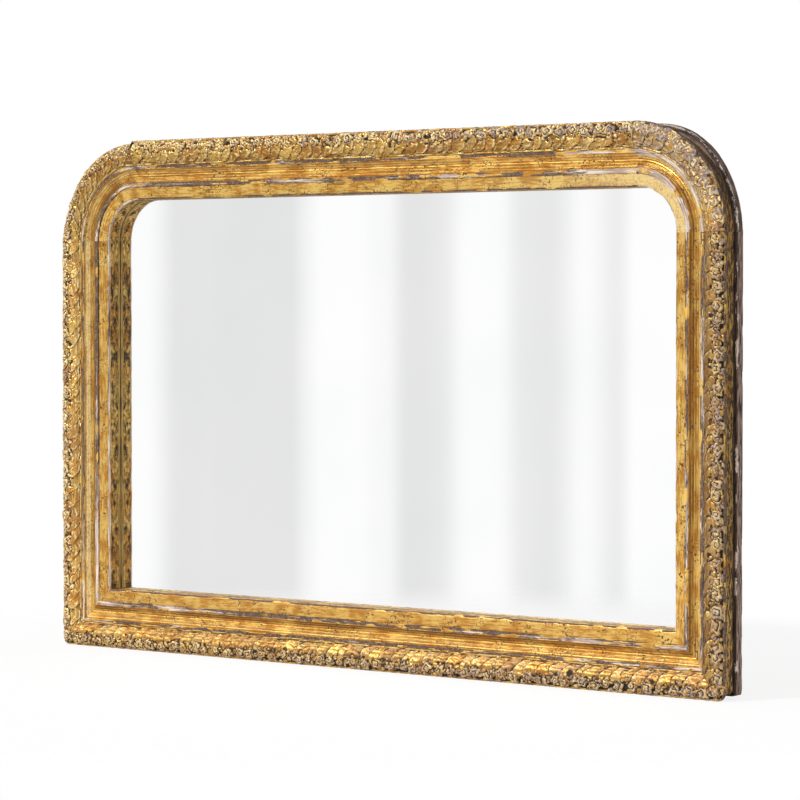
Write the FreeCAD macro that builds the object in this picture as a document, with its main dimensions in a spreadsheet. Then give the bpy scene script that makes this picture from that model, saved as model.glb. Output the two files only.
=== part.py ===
import FreeCAD, Part
import math
import os
import Sketcher

# Gilded overmantel mirror with a carved border and rounded top corners.
# X runs along the width, -Y is the front, Z is up; the base rests on Z = 0.
# A section is drawn with "rise", the distance forward of the back plane,
# and "inset", the distance in from the outer edge of the carved border.

SIZES = {
    # Outline of the frame
    "frame_width": 1220,
    "frame_height": 760,
    "corner_radius": 148,
    "moulding_width": 87,
    # Back frame of plain boards, rebated for the glass
    "back_inset": 4,
    "back_thickness": 15,
    "rebate_width": 8,
    # Core moulding that carries the profile
    "core_inset": 6.5,
    "quirk": 3,
    "bed_rise": 41,
    "outer_fillet_rise": 42.5,
    "outer_fillet_width": 4.5,
    "cove_width": 20.5,
    "cove_sag": 6,
    "inner_fillet_rise": 39.5,
    "inner_fillet_width": 6.5,
    "band_rise": 37.5,
    "band_drop": 3,
    "sight_bevel": 2,
    "sight_drop": 1,
    # Carved slip glued on the bed
    "slip_width": 37,
    "slip_edge_rise": 46,
    "crown_rise": 52,
    "crown_inset": 13,
    "crown_sag": 1.6,
    "slope_sag": 1.2,
    "slip_inner_rise": 43.5,
    # Mirror stack in the rebate
    "felt_thickness": 1,
    "felt_margin": 1,
    "glass_thickness": 4,
    "glass_clearance": 2,
    "board_thickness": 5.5,
    "setting_block_length": 60,
    # Loose tongues across the frame's joints
    "tongue_length": 40,
    "tongue_width": 36,
    "tongue_thickness": 5,
    "tongue_inset": 45,
    "core_tongue_rise": 23,
    "back_tongue_rise": 6,
    # Screws that hold the core moulding to the back frame
    "frame_screw_inset": 58,
    "frame_screw_margin": 90,
    "frame_screw_length": 28,
    "frame_screw_diameter": 4,
    "frame_screw_head": 8,
    "screw_clearance": 0.1,
    # Turn buttons that keep the backing board in
    "button_inset": 71,
    "button_reach": 20,
    "button_width": 12,
    "button_thickness": 1.2,
    "button_gap": 0.2,
    "button_screw_diameter": 3.5,
    "button_screw_head": 7,
    "button_head_height": 2,
    "button_screw_length": 12,
    "pivot_clearance": 0.08,
    # Strap hangers with swinging rings
    "hanger_drop": 60,
    "hanger_inset": 32,
    "strap_width": 16,
    "strap_length": 40,
    "strap_thickness": 1.2,
    "eye_lift": 0.3,
    "strap_screw_top": 11,
    "strap_screw_low": 32,
    "strap_screw_diameter": 4,
    "strap_screw_head": 6.4,
    "strap_screw_length": 13,
    "wire_diameter": 3.5,
    "ring_half_width": 15,
    "ring_leg": 8,
    "ring_corner": 4,
    # Pads that the frame rests on
    "wall_pad_diameter": 20,
    "wall_pad_thickness": 6.5,
    "wall_pad_inset": 32,
    "wall_pad_height": 60,
    "base_pad_length": 60,
    "base_pad_depth": 10,
    "base_pad_back": 2.5,
    "base_pad_inset": 150,
}
CUT_MARGIN = 5
MITRE_ANGLE = 45
QUARTER_TURN = 90
HALF_TURN = 180
HALF_ROOT = math.sqrt(0.5)
TOLERANCE = 1e-6
RAIL_SCREWS = 4
STILE_SCREWS = 3
SLOT_WIDTH_SHARE = 0.18
SLOT_DEPTH_SHARE = 0.5

document = FreeCAD.newDocument("overmantel_mirror")
sheet = document.addObject("Spreadsheet::Sheet", "Sizes")
for row, (alias, number) in enumerate(SIZES.items(), start=1):
    sheet.set(f"A{row}", alias)
    sheet.set(f"B{row}", str(number))
    sheet.setAlias(f"B{row}", alias)
document.recompute()


class Size:
    """A length in millimetres with the formula that ties it to the sheet."""

    def __init__(self, number, formula):
        self.number = number
        self.formula = formula

    def __add__(self, other):
        other = as_size(other)
        return Size(self.number + other.number, f"({self.formula} + {other.formula})")

    def __sub__(self, other):
        other = as_size(other)
        return Size(self.number - other.number, f"({self.formula} - {other.formula})")

    def __mul__(self, other):
        other = as_size(other)
        return Size(self.number * other.number, f"({self.formula} * {other.formula})")

    def __truediv__(self, other):
        other = as_size(other)
        return Size(self.number / other.number, f"({self.formula} / {other.formula})")

    def __neg__(self):
        return Size(-self.number, f"(0 - {self.formula})")


def as_size(thing):
    """A plain number as a size of its own."""
    if isinstance(thing, Size):
        return thing
    return Size(float(thing), repr(float(thing)))


def named(alias):
    """The size in the sheet's cell of that name."""
    return Size(float(SIZES[alias]), f"Sizes.{alias}")


# Sizes that follow from the sheet
FRAME_WIDTH = named("frame_width")
FRAME_HEIGHT = named("frame_height")
CORNER_RADIUS = named("corner_radius")
MOULDING_WIDTH = named("moulding_width")
BACK_THICKNESS = named("back_thickness")
BACK_INSET = named("back_inset")
HALF_WIDTH = FRAME_WIDTH / 2
RAIL_LENGTH = FRAME_WIDTH - CORNER_RADIUS * 2
STILE_LENGTH = FRAME_HEIGHT - CORNER_RADIUS
WALL_Y = (named("crown_rise") - named("wall_pad_thickness")) / 2
REBATE_DEPTH = named("felt_thickness") + named("glass_thickness") + named("board_thickness")
REBATE_LINE = MOULDING_WIDTH - named("rebate_width")
GLASS_LINE = REBATE_LINE + named("glass_clearance")
WIRE_RADIUS = named("wire_diameter") / 2
EYE_BORE = WIRE_RADIUS + named("pivot_clearance")
EYE_RADIUS = EYE_BORE + named("strap_thickness")
EYE_RISE = EYE_RADIUS + named("eye_lift")
EYE_HEIGHT = STILE_LENGTH - named("hanger_drop")

SIDE_SIGNS = {"left": -1, "right": 1}


def bind(item, path, size):
    """Tie one property of an object to the sheet."""
    item.setExpression(path, as_size(size).formula)


def place(item, x, y, z, turn=None):
    """Put an object at bound coordinates, turned as given."""
    item.Placement = FreeCAD.Placement(FreeCAD.Vector(), turn or FreeCAD.Rotation())
    bind(item, ".Placement.Base.x", x)
    bind(item, ".Placement.Base.y", y)
    bind(item, ".Placement.Base.z", z)


def turn_about(x, y, z, degrees):
    """A rotation about the axis x, y, z."""
    return FreeCAD.Rotation(FreeCAD.Vector(x, y, z), degrees)


# Turns of an axis that points up, and of a body drawn with its front towards +Y
FORWARD = turn_about(1, 0, 0, QUARTER_TURN)
BACKWARD = turn_about(1, 0, 0, -QUARTER_TURN)
SIDEWAYS = turn_about(0, 1, 0, QUARTER_TURN)
FACING_FRONT = turn_about(0, 0, 1, HALF_TURN)


# Sketches


def new_body(label):
    """An empty body that becomes the node of that name."""
    body = document.addObject("PartDesign::Body", label)
    body.Label = label
    return body


def new_sketch(body, role, offset=None):
    """A sketch on one of the body's origin planes, moved along the plane's normal."""
    sketch = body.newObject("Sketcher::SketchObject", "sketch")
    plane = next(item for item in body.Origin.OriginFeatures if item.Role == role)
    sketch.AttachmentSupport = [(plane, "")]
    sketch.MapMode = "FlatFace"
    if offset is not None:
        bind(sketch, ".AttachmentOffset.Base.z", offset)
    return sketch


def pin_point(sketch, geometry, position, point):
    """Hold one point of a sketch at bound coordinates."""
    for kind, size in zip(("DistanceX", "DistanceY"), point):
        ends = (-1, 1, geometry, position)
        if size.number < 0:
            ends = (geometry, position, -1, 1)
            size = -size
        index = sketch.addConstraint(Sketcher.Constraint(kind, *ends, size.number))
        sketch.setExpression(f"Constraints[{index}]", size.formula)


def arc_radius(start, end, sag):
    """Radius of the arc over a chord that rises by the sag."""
    across = end[0] - start[0]
    along = end[1] - start[1]
    return ((across * across + along * along) / 4 + sag * sag) / (sag * 2)


def arc_curve(start, end, sag):
    """The arc from start to end that bulges by the sag to the left of the chord."""
    first = FreeCAD.Vector(start[0].number, start[1].number, 0)
    last = FreeCAD.Vector(end[0].number, end[1].number, 0)
    chord = last - first
    side = FreeCAD.Vector(-chord.y, chord.x, 0).normalize()
    return Part.Arc(first, (first + last) / 2 + side * sag, last)


def draw_outline(sketch, corners, bulges=None):
    """A closed outline; bulges gives the sag and side of the stretch after a corner."""
    bulges = bulges or {}
    corners = [(as_size(x), as_size(y)) for x, y in corners]
    starts = []
    ends = []
    for index, start in enumerate(corners):
        end = corners[(index + 1) % len(corners)]
        first = FreeCAD.Vector(start[0].number, start[1].number, 0)
        last = FreeCAD.Vector(end[0].number, end[1].number, 0)
        if index not in bulges:
            geometry = sketch.addGeometry(Part.LineSegment(first, last), False)
            starts.append((geometry, 1))
            ends.append((geometry, 2))
            continue
        sag, side = bulges[index]
        geometry = sketch.addGeometry(arc_curve(start, end, sag.number * side), False)
        radius = arc_radius(start, end, sag)
        constraint = sketch.addConstraint(Sketcher.Constraint("Radius", geometry, radius.number))
        sketch.setExpression(f"Constraints[{constraint}]", radius.formula)
        forward = (sketch.getPoint(geometry, 1) - first).Length < TOLERANCE
        starts.append((geometry, 1 if forward else 2))
        ends.append((geometry, 2 if forward else 1))
    for index, corner in enumerate(corners):
        joined = starts[(index + 1) % len(corners)]
        sketch.addConstraint(Sketcher.Constraint("Coincident", *ends[index], *joined))
        pin_point(sketch, *starts[index], corner)


def draw_circle(sketch, x, y, diameter):
    """A circle at bound coordinates."""
    x = as_size(x)
    y = as_size(y)
    diameter = as_size(diameter)
    centre = FreeCAD.Vector(x.number, y.number, 0)
    circle = Part.Circle(centre, FreeCAD.Vector(0, 0, 1), diameter.number / 2)
    geometry = sketch.addGeometry(circle, False)
    index = sketch.addConstraint(Sketcher.Constraint("Diameter", geometry, diameter.number))
    sketch.setExpression(f"Constraints[{index}]", diameter.formula)
    pin_point(sketch, geometry, 3, (x, y))


# Features


def pad(body, sketch, length, symmetric=False):
    """Raise a sketch into a solid."""
    feature = body.newObject("PartDesign::Pad", "pad")
    feature.Profile = sketch
    feature.SideType = "Symmetric" if symmetric else "One side"
    bind(feature, "Length", length)
    return feature


def pocket(body, sketch, depth=None, symmetric=False):
    """Cut a sketch into the solid, right through if no depth is given."""
    feature = body.newObject("PartDesign::Pocket", "pocket")
    feature.Profile = sketch
    feature.SideType = "Symmetric" if symmetric else "One side"
    if depth is None:
        feature.Type = "ThroughAll"
    else:
        bind(feature, "Length", depth)
    return feature


def drill(body, places, diameter, rise, depth):
    """Blind holes from the plane at that rise towards the front."""
    sketch = new_sketch(body, "XZ_Plane", -as_size(rise))
    for x, inset in places:
        draw_circle(sketch, x, inset, diameter)
    pocket(body, sketch, depth)


def countersink(body, places, diameter, head):
    """Through holes with a countersink in the back plane."""
    sketch = new_sketch(body, "XZ_Plane")
    for x, inset in places:
        draw_circle(sketch, x, inset, diameter)
    document.recompute()
    feature = body.newObject("PartDesign::Hole", "hole")
    feature.Profile = sketch
    feature.DepthType = "ThroughAll"
    feature.HoleCutType = "Countersink"
    feature.HoleCutCustomValues = True
    feature.HoleCutCountersinkAngle = QUARTER_TURN
    bind(feature, "Diameter", diameter)
    bind(feature, "HoleCutDiameter", head)


# Sections of the three layers, as (rise, inset) corners


def back_section():
    """Plain board with a rebate at the inner back."""
    corners = [
        (as_size(0), BACK_INSET),
        (BACK_THICKNESS, BACK_INSET),
        (BACK_THICKNESS, MOULDING_WIDTH),
        (REBATE_DEPTH, MOULDING_WIDTH),
        (REBATE_DEPTH, REBATE_LINE),
        (as_size(0), REBATE_LINE),
    ]
    return corners, {}


def core_section():
    """Bed for the slip, outer fillet, cove, inner fillet, sloped band and sight wall."""
    core_inset = named("core_inset")
    quirk = named("quirk")
    bed_rise = named("bed_rise")
    slip_width = named("slip_width")
    outer_rise = named("outer_fillet_rise")
    cove_start = slip_width + named("outer_fillet_width")
    cove_end = cove_start + named("cove_width")
    inner_rise = named("inner_fillet_rise")
    band_start = cove_end + named("inner_fillet_width")
    band_rise = named("band_rise")
    band_end = MOULDING_WIDTH - named("sight_bevel")
    sight_rise = band_rise - named("band_drop")
    corners = [
        (BACK_THICKNESS, core_inset + quirk),
        (BACK_THICKNESS + quirk, core_inset),
        (bed_rise, core_inset),
        (bed_rise, slip_width),
        (outer_rise, slip_width),
        (outer_rise, cove_start),
        (inner_rise, cove_end),
        (inner_rise, band_start),
        (band_rise, band_start),
        (sight_rise, band_end),
        (sight_rise - named("sight_drop"), MOULDING_WIDTH),
        (BACK_THICKNESS, MOULDING_WIDTH),
    ]
    return corners, {5: (named("cove_sag"), 1)}


def slip_section():
    """Carved border in its mean shape: plain edge, crown and inner slope."""
    bed_rise = named("bed_rise")
    slip_width = named("slip_width")
    corners = [
        (bed_rise, as_size(0)),
        (named("slip_edge_rise"), as_size(0)),
        (named("crown_rise"), named("crown_inset")),
        (named("slip_inner_rise"), slip_width),
        (bed_rise, slip_width),
    ]
    return corners, {1: (named("crown_sag"), -1), 2: (named("slope_sag"), -1)}


SECTIONS = {"back": back_section, "core": core_section, "slip": slip_section}
TONGUE_RISES = {"back": named("back_tongue_rise"), "core": named("core_tongue_rise")}


# Straight lengths of the frame


def mitre_end(body, half_length, end):
    """Cut one end of a straight length at 45 degrees."""
    reach = MOULDING_WIDTH + CUT_MARGIN
    tip = half_length + CUT_MARGIN
    corners = [
        (tip * end, -as_size(CUT_MARGIN)),
        (tip * end, reach),
        ((half_length - reach) * end, reach),
    ]
    sketch = new_sketch(body, "XZ_Plane")
    draw_outline(sketch, corners)
    pocket(body, sketch, symmetric=True)


def tongue_slot(body, corners, rise):
    """Slot for one half of a loose tongue."""
    sketch = new_sketch(body, "XZ_Plane", -rise)
    draw_outline(sketch, corners)
    pocket(body, sketch, named("tongue_thickness"), symmetric=True)


def square_slot(half_length, end):
    """Outline of the slot across a square end."""
    half_width = named("tongue_width") / 2
    depth = named("tongue_length") / 2
    low = named("tongue_inset") - half_width
    high = named("tongue_inset") + half_width
    return [
        ((half_length + CUT_MARGIN) * end, low),
        ((half_length + CUT_MARGIN) * end, high),
        ((half_length - depth) * end, high),
        ((half_length - depth) * end, low),
    ]


def mitre_slot(half_length, end):
    """Outline of the slot across a mitred end, square to the mitre."""
    along = named("tongue_width") / 2 * HALF_ROOT
    across = named("tongue_length") / 2 * HALF_ROOT
    centre_x = half_length - named("tongue_inset")
    centre_y = named("tongue_inset")
    steps = [(1, 1), (1, -1), (-1, -1), (-1, 1)]
    return [
        ((centre_x + across * a - along * b) * end, centre_y + across * a + along * b) for a, b in steps
    ]


def straight_length(layer, side):
    """One rail or stile of a layer, with its mitres, tongue slots and place."""
    sides = {
        "bottom": ("rail", FRAME_WIDTH, 0, as_size(0), as_size(0), (-1, 1)),
        "top": ("rail", RAIL_LENGTH, HALF_TURN, as_size(0), FRAME_HEIGHT, ()),
        "left": ("stile", STILE_LENGTH, QUARTER_TURN, -HALF_WIDTH, STILE_LENGTH / 2, (-1,)),
        "right": ("stile", STILE_LENGTH, -QUARTER_TURN, HALF_WIDTH, STILE_LENGTH / 2, (1,)),
    }
    kind, length, degrees, x, z, mitres = sides[side]
    body = new_body(f"{layer}_{kind}_{side}")
    sketch = new_sketch(body, "YZ_Plane")
    corners, bulges = SECTIONS[layer]()
    draw_outline(sketch, corners, bulges)
    pad(body, sketch, length, symmetric=True)
    for end in (-1, 1):
        slot = mitre_slot if end in mitres else square_slot
        if layer in TONGUE_RISES:
            tongue_slot(body, slot(length / 2, end), TONGUE_RISES[layer])
        if end in mitres:
            mitre_end(body, length / 2, end)
    turn = turn_about(0, 1, 0, degrees).multiply(FACING_FRONT)
    place(body, x, WALL_Y, z, turn)
    return body, length / 2


def screw_places(half_length, count):
    """Even places along a straight length for the screws of the frame."""
    reach = half_length - named("frame_screw_margin")
    spread = [2 * index / (count - 1) - 1 for index in range(count)]
    return [(reach * share, named("frame_screw_inset")) for share in spread]


def drill_frame_screws(layer, body, places):
    """Countersunk holes in the back frame, pilot holes in the core moulding."""
    fit = named("screw_clearance") * 2
    hole = named("frame_screw_diameter") + fit
    if layer == "back":
        countersink(body, places, hole, named("frame_screw_head") + fit)
    if layer == "core":
        depth = named("frame_screw_length") - BACK_THICKNESS + named("screw_clearance")
        drill(body, places, hole, BACK_THICKNESS, depth)


# Rounded top corner blocks


def corner_block(layer, side):
    """A quarter ring of the layer's section with a slot at each end."""
    body = new_body(f"{layer}_corner_{side}")
    sketch = new_sketch(body, "YZ_Plane")
    corners, bulges = SECTIONS[layer]()
    turned = [(rise, CORNER_RADIUS - inset) for rise, inset in corners]
    flipped = {index: (sag, -way) for index, (sag, way) in bulges.items()}
    draw_outline(sketch, turned, flipped)
    revolution = body.newObject("PartDesign::Revolution", "revolution")
    revolution.Profile = sketch
    revolution.ReferenceAxis = (sketch, ["H_Axis"])
    revolution.Angle = QUARTER_TURN
    revolution.Reversed = side == "right"
    way = -SIDE_SIGNS[side]
    if layer in TONGUE_RISES:
        half_width = named("tongue_width") / 2
        depth = named("tongue_length") / 2
        near = CORNER_RADIUS - named("tongue_inset") - half_width
        far = CORNER_RADIUS - named("tongue_inset") + half_width
        margin = -as_size(CUT_MARGIN)
        top_slot = [(margin * way, near), (depth * way, near), (depth * way, far), (margin * way, far)]
        side_slot = [(near * way, margin), (far * way, margin), (far * way, depth), (near * way, depth)]
        tongue_slot(body, top_slot, TONGUE_RISES[layer])
        tongue_slot(body, side_slot, TONGUE_RISES[layer])
    reach = (CORNER_RADIUS - named("frame_screw_inset")) * HALF_ROOT
    drill_frame_screws(layer, body, [(reach * way, reach)])
    x = (HALF_WIDTH - CORNER_RADIUS) * SIDE_SIGNS[side]
    place(body, x, WALL_Y, STILE_LENGTH, FACING_FRONT)
    return body


# Plain solids and groups


def box(label, length, depth, height, x, y, z, turn=None):
    """A block with one corner at x, y, z before it is turned."""
    item = document.addObject("Part::Box", label)
    bind(item, "Length", length)
    bind(item, "Width", depth)
    bind(item, "Height", height)
    place(item, x, y, z, turn)
    return item


def cylinder(label, radius, height, x, y, z, turn=None):
    """A round bar from x, y, z along its turned axis."""
    item = document.addObject("Part::Cylinder", label)
    bind(item, "Radius", radius)
    bind(item, "Height", height)
    place(item, x, y, z, turn)
    return item


def cone(label, base, top, height, x, y, z, turn=None):
    """A cone from x, y, z along its turned axis."""
    item = document.addObject("Part::Cone", label)
    bind(item, "Radius1", base)
    bind(item, "Radius2", top)
    bind(item, "Height", height)
    place(item, x, y, z, turn)
    return item


def elbow(label, bend, radius, sweep, x, y, z, turn):
    """A bent round bar, part of a ring about x, y, z."""
    item = document.addObject("Part::Torus", label)
    bind(item, "Radius1", bend)
    bind(item, "Radius2", radius)
    item.Angle3 = sweep
    place(item, x, y, z, turn)
    return item


def fuse(label, items):
    """Several solids as one."""
    item = document.addObject("Part::MultiFuse", label)
    item.Shapes = items
    item.Refine = True
    return item


def cut(label, base, tool):
    """One solid less another."""
    item = document.addObject("Part::Cut", label)
    item.Base = base
    item.Tool = tool
    return item


def group(label, items):
    """Separate solids under one name."""
    item = document.addObject("Part::Compound", label)
    item.Links = items
    item.Label = label
    return item


def slotted(label, solid, diameter, height, x, y, z):
    """A screw whose head, facing the wall, has a slot."""
    width = diameter * SLOT_WIDTH_SHARE
    depth = height * SLOT_DEPTH_SHARE
    tool = box(f"{label}_slot", diameter, depth, width, x - diameter / 2, y - depth, z - width / 2)
    return cut(label, solid, tool)


def flat_screw(label, diameter, head, length, x, y, z):
    """A countersunk wood screw whose head lies flush at y and whose shank points forward."""
    height = (head - diameter) / 2
    top = cone(f"{label}_head", head / 2, diameter / 2, height, x, y, z, FORWARD)
    shank = cylinder(f"{label}_shank", diameter / 2, length, x, y, z, FORWARD)
    return slotted(label, fuse(f"{label}_solid", [top, shank]), head, height, x, y, z)


def pan_screw(label, diameter, head, height, length, x, seat, z):
    """A wood screw with a flat head that stands proud of its seat."""
    top = cylinder(f"{label}_head", head / 2, height, x, seat, z, BACKWARD)
    shank = cylinder(f"{label}_shank", diameter / 2, length, x, seat, z, FORWARD)
    return slotted(label, fuse(f"{label}_solid", [top, shank]), head, height, x, seat + height, z)


# Frame: three layers, each of four straight lengths and two corner blocks

half_rail = RAIL_LENGTH / 2
half_stile = STILE_LENGTH / 2
button_rail_x = half_rail / 2
button_stile_step = half_stile / 3
pilot_fit = named("screw_clearance") * 2
button_pilot = named("button_screw_diameter") + pilot_fit
strap_pilot = named("strap_screw_diameter") + pilot_fit
button_grip = named("button_screw_length")
nodes = []
for layer_name in ("back", "core", "slip"):
    for side_name in ("bottom", "top", "left", "right"):
        member, half_run = straight_length(layer_name, side_name)
        is_stile = side_name in SIDE_SIGNS
        screw_count = STILE_SCREWS if is_stile else RAIL_SCREWS
        drill_frame_screws(layer_name, member, screw_places(half_run, screw_count))
        if layer_name == "back":
            button_step = button_stile_step if is_stile else button_rail_x
            pilots = [(button_step * end, named("button_inset")) for end in (-1, 1)]
            drill(member, pilots, button_pilot, 0, button_grip)
        if layer_name == "back" and is_stile:
            upward = -SIDE_SIGNS[side_name]
            eye_run = (EYE_HEIGHT - half_stile) * upward
            straps = [
                (eye_run - named(hole) * upward, named("hanger_inset"))
                for hole in ("strap_screw_top", "strap_screw_low")
            ]
            drill(member, straps, strap_pilot, 0, named("strap_screw_length"))
        nodes.append(member)
    for side_name in ("left", "right"):
        nodes.append(corner_block(layer_name, side_name))


# Loose tongues inside the joints


def tongue(label, x, z, layer, degrees):
    """A flat tongue centred on a joint, lying along the frame at that turn."""
    thickness = named("tongue_thickness")
    turn = turn_about(0, 1, 0, degrees)
    half_length = named("tongue_length") / 2
    half_width = named("tongue_width") / 2
    cosine = math.cos(math.radians(degrees))
    sine = math.sin(math.radians(degrees))
    corner_x = x - half_length * cosine - half_width * sine
    corner_z = z + half_length * sine - half_width * cosine
    corner_y = WALL_Y - TONGUE_RISES[layer] - thickness / 2
    size = (named("tongue_length"), thickness, named("tongue_width"))
    return box(label, *size, corner_x, corner_y, corner_z, turn)


tongues = []
for layer_name in TONGUE_RISES:
    for side_name, way in SIDE_SIGNS.items():
        middle = named("tongue_inset")
        mitre_x = (HALF_WIDTH - middle) * way
        joints = {
            "mitre": (mitre_x, middle, -MITRE_ANGLE * way),
            "top": (half_rail * way, FRAME_HEIGHT - middle, 0),
            "side": (mitre_x, STILE_LENGTH, QUARTER_TURN),
        }
        for joint_name, (joint_x, joint_z, degrees) in joints.items():
            label = f"{layer_name}_{joint_name}_{side_name}"
            tongues.append(tongue(label, joint_x, joint_z, layer_name, degrees))
nodes.append(group("joint_tongues", tongues))


# Screws that hold the core moulding on the back frame

frame_screws = []
frame_screw = (named("frame_screw_diameter"), named("frame_screw_head"), named("frame_screw_length"))
screw_inset = named("frame_screw_inset")
screw_spots = []
for run, inset in screw_places(HALF_WIDTH, RAIL_SCREWS):
    screw_spots.append((run, inset))
for run, inset in screw_places(half_rail, RAIL_SCREWS):
    screw_spots.append((run, FRAME_HEIGHT - inset))
for way in SIDE_SIGNS.values():
    for run, inset in screw_places(half_stile, STILE_SCREWS):
        screw_spots.append(((HALF_WIDTH - inset) * way, half_stile + run))
    corner_reach = (CORNER_RADIUS - screw_inset) * HALF_ROOT
    screw_spots.append(((HALF_WIDTH - CORNER_RADIUS + corner_reach) * way, STILE_LENGTH + corner_reach))
for index, (spot_x, spot_z) in enumerate(screw_spots, start=1):
    frame_screws.append(flat_screw(f"frame_screw_{index}", *frame_screw, spot_x, WALL_Y, spot_z))
nodes.append(group("frame_screws", frame_screws))


# Mirror plate, felt, backing board and setting blocks in the rebate


def plate(label, thickness, front_rise):
    """A sheet with the rebate's outline, its front face at that rise."""
    body = new_body(label)
    half = HALF_WIDTH - GLASS_LINE
    low = GLASS_LINE
    high = FRAME_HEIGHT - GLASS_LINE
    radius = CORNER_RADIUS - GLASS_LINE
    sag = radius * (1 - HALF_ROOT)
    corners = [
        (-half, low),
        (half, low),
        (half, high - radius),
        (half - radius, high),
        (radius - half, high),
        (-half, high - radius),
    ]
    sketch = new_sketch(body, "XZ_Plane")
    draw_outline(sketch, corners, {2: (sag, -1), 4: (sag, -1)})
    pad(body, sketch, thickness)
    place(body, 0, WALL_Y - front_rise + thickness, 0)
    return body


board_front = named("board_thickness")
glass_front = board_front + named("glass_thickness")
nodes.append(plate("mirror_plate", named("glass_thickness"), glass_front))
nodes.append(plate("backing_board", named("board_thickness"), board_front))

felt_line = REBATE_LINE + named("felt_margin")
felt_width = named("rebate_width") - named("felt_margin") * 2
felt_thickness = named("felt_thickness")
felt_y = WALL_Y - REBATE_DEPTH
felt_half = HALF_WIDTH - felt_line
felt_stile = STILE_LENGTH - felt_line - felt_width
felt_inner = felt_line + felt_width
felt_top = FRAME_HEIGHT - felt_inner
felt_strips = [
    box("felt_bottom", felt_half * 2, felt_thickness, felt_width, -felt_half, felt_y, felt_line),
    box("felt_top", RAIL_LENGTH, felt_thickness, felt_width, -half_rail, felt_y, felt_top),
    box("felt_left", felt_width, felt_thickness, felt_stile, -felt_half, felt_y, felt_inner),
    box("felt_right", felt_width, felt_thickness, felt_stile, felt_half - felt_width, felt_y, felt_inner),
]
nodes.append(group("rebate_felt", felt_strips))

block_length = named("setting_block_length")
block_y = WALL_Y - glass_front
setting_blocks = []
for side_name, way in SIDE_SIGNS.items():
    block_x = (HALF_WIDTH - GLASS_LINE) / 2 * way - block_length / 2
    size = (block_length, named("glass_thickness"), named("glass_clearance"))
    setting_blocks.append(box(f"setting_block_{side_name}", *size, block_x, block_y, REBATE_LINE))
nodes.append(group("setting_blocks", setting_blocks))


# Turn buttons and the screws that they swing on


def turn_button(label, x, z, degrees):
    """A flat button with round ends, held at one end, that points inward at rest."""
    radius = named("button_width") / 2
    reach = named("button_reach")
    thickness = named("button_thickness")
    blade = box(f"{label}_blade", reach, thickness, radius * 2, 0, 0, -radius)
    heel = cylinder(f"{label}_heel", radius, thickness, 0, thickness, 0, FORWARD)
    toe = cylinder(f"{label}_toe", radius, thickness, reach, thickness, 0, FORWARD)
    bore_radius = named("button_screw_diameter") / 2 + named("pivot_clearance")
    bore = cylinder(f"{label}_bore", bore_radius, thickness, 0, thickness, 0, FORWARD)
    button = cut(label, fuse(f"{label}_solid", [blade, heel, toe]), bore)
    button.Label = label
    place(button, x, WALL_Y + named("button_gap"), z, turn_about(0, 1, 0, degrees))
    return button


button_seat = WALL_Y + named("button_gap") * 2 + named("button_thickness")
button_line = named("button_inset")
button_spots = []
for way in (-1, 1):
    button_spots.append((button_rail_x * way, button_line, -QUARTER_TURN))
    button_spots.append((button_rail_x * way, FRAME_HEIGHT - button_line, QUARTER_TURN))
    button_spots.append((button_line - HALF_WIDTH, half_stile + button_stile_step * way, 0))
    button_spots.append((HALF_WIDTH - button_line, half_stile + button_stile_step * way, HALF_TURN))
button_screws = []
button_screw = (named("button_screw_diameter"), named("button_screw_head"), named("button_head_height"))
button_shank = button_grip + named("button_thickness")
for index, (spot_x, spot_z, degrees) in enumerate(button_spots, start=1):
    nodes.append(turn_button(f"turn_button_{index}", spot_x, spot_z, degrees))
    seat = (spot_x, button_seat, spot_z)
    button_screws.append(pan_screw(f"button_screw_{index}", *button_screw, button_shank, *seat))
nodes.append(group("turn_button_screws", button_screws))


# Strap hangers and their rings


def hanger_strap(label, x):
    """A strap rolled into an eye at its top and drilled for two screws."""
    width = named("strap_width")
    thickness = named("strap_thickness")
    length = named("strap_length")
    radius = width / 2
    left = x - radius
    foot_z = EYE_HEIGHT - length + radius
    leaf = box(f"{label}_leaf", width, thickness, length - radius, left, WALL_Y, foot_z)
    foot = cylinder(f"{label}_foot", radius, thickness, x, WALL_Y + thickness, foot_z, FORWARD)
    eye_y = WALL_Y + EYE_RISE
    eye = cylinder(f"{label}_eye", EYE_RADIUS, width, left, eye_y, EYE_HEIGHT, SIDEWAYS)
    tools = [cylinder(f"{label}_bore", EYE_BORE, width, left, eye_y, EYE_HEIGHT, SIDEWAYS)]
    fit = named("screw_clearance")
    shank = named("strap_screw_diameter") / 2 + fit
    head = named("strap_screw_head") / 2 + fit
    for hole in ("strap_screw_top", "strap_screw_low"):
        z = EYE_HEIGHT - named(hole)
        face = WALL_Y + thickness
        tools.append(cone(f"{label}_{hole}_sink", head, shank, head - shank, x, face, z, FORWARD))
        tools.append(cylinder(f"{label}_{hole}_hole", shank, thickness, x, face, z, FORWARD))
    strap = cut(label, fuse(f"{label}_solid", [leaf, foot, eye]), fuse(f"{label}_tools", tools))
    strap.Label = label
    return strap


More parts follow.
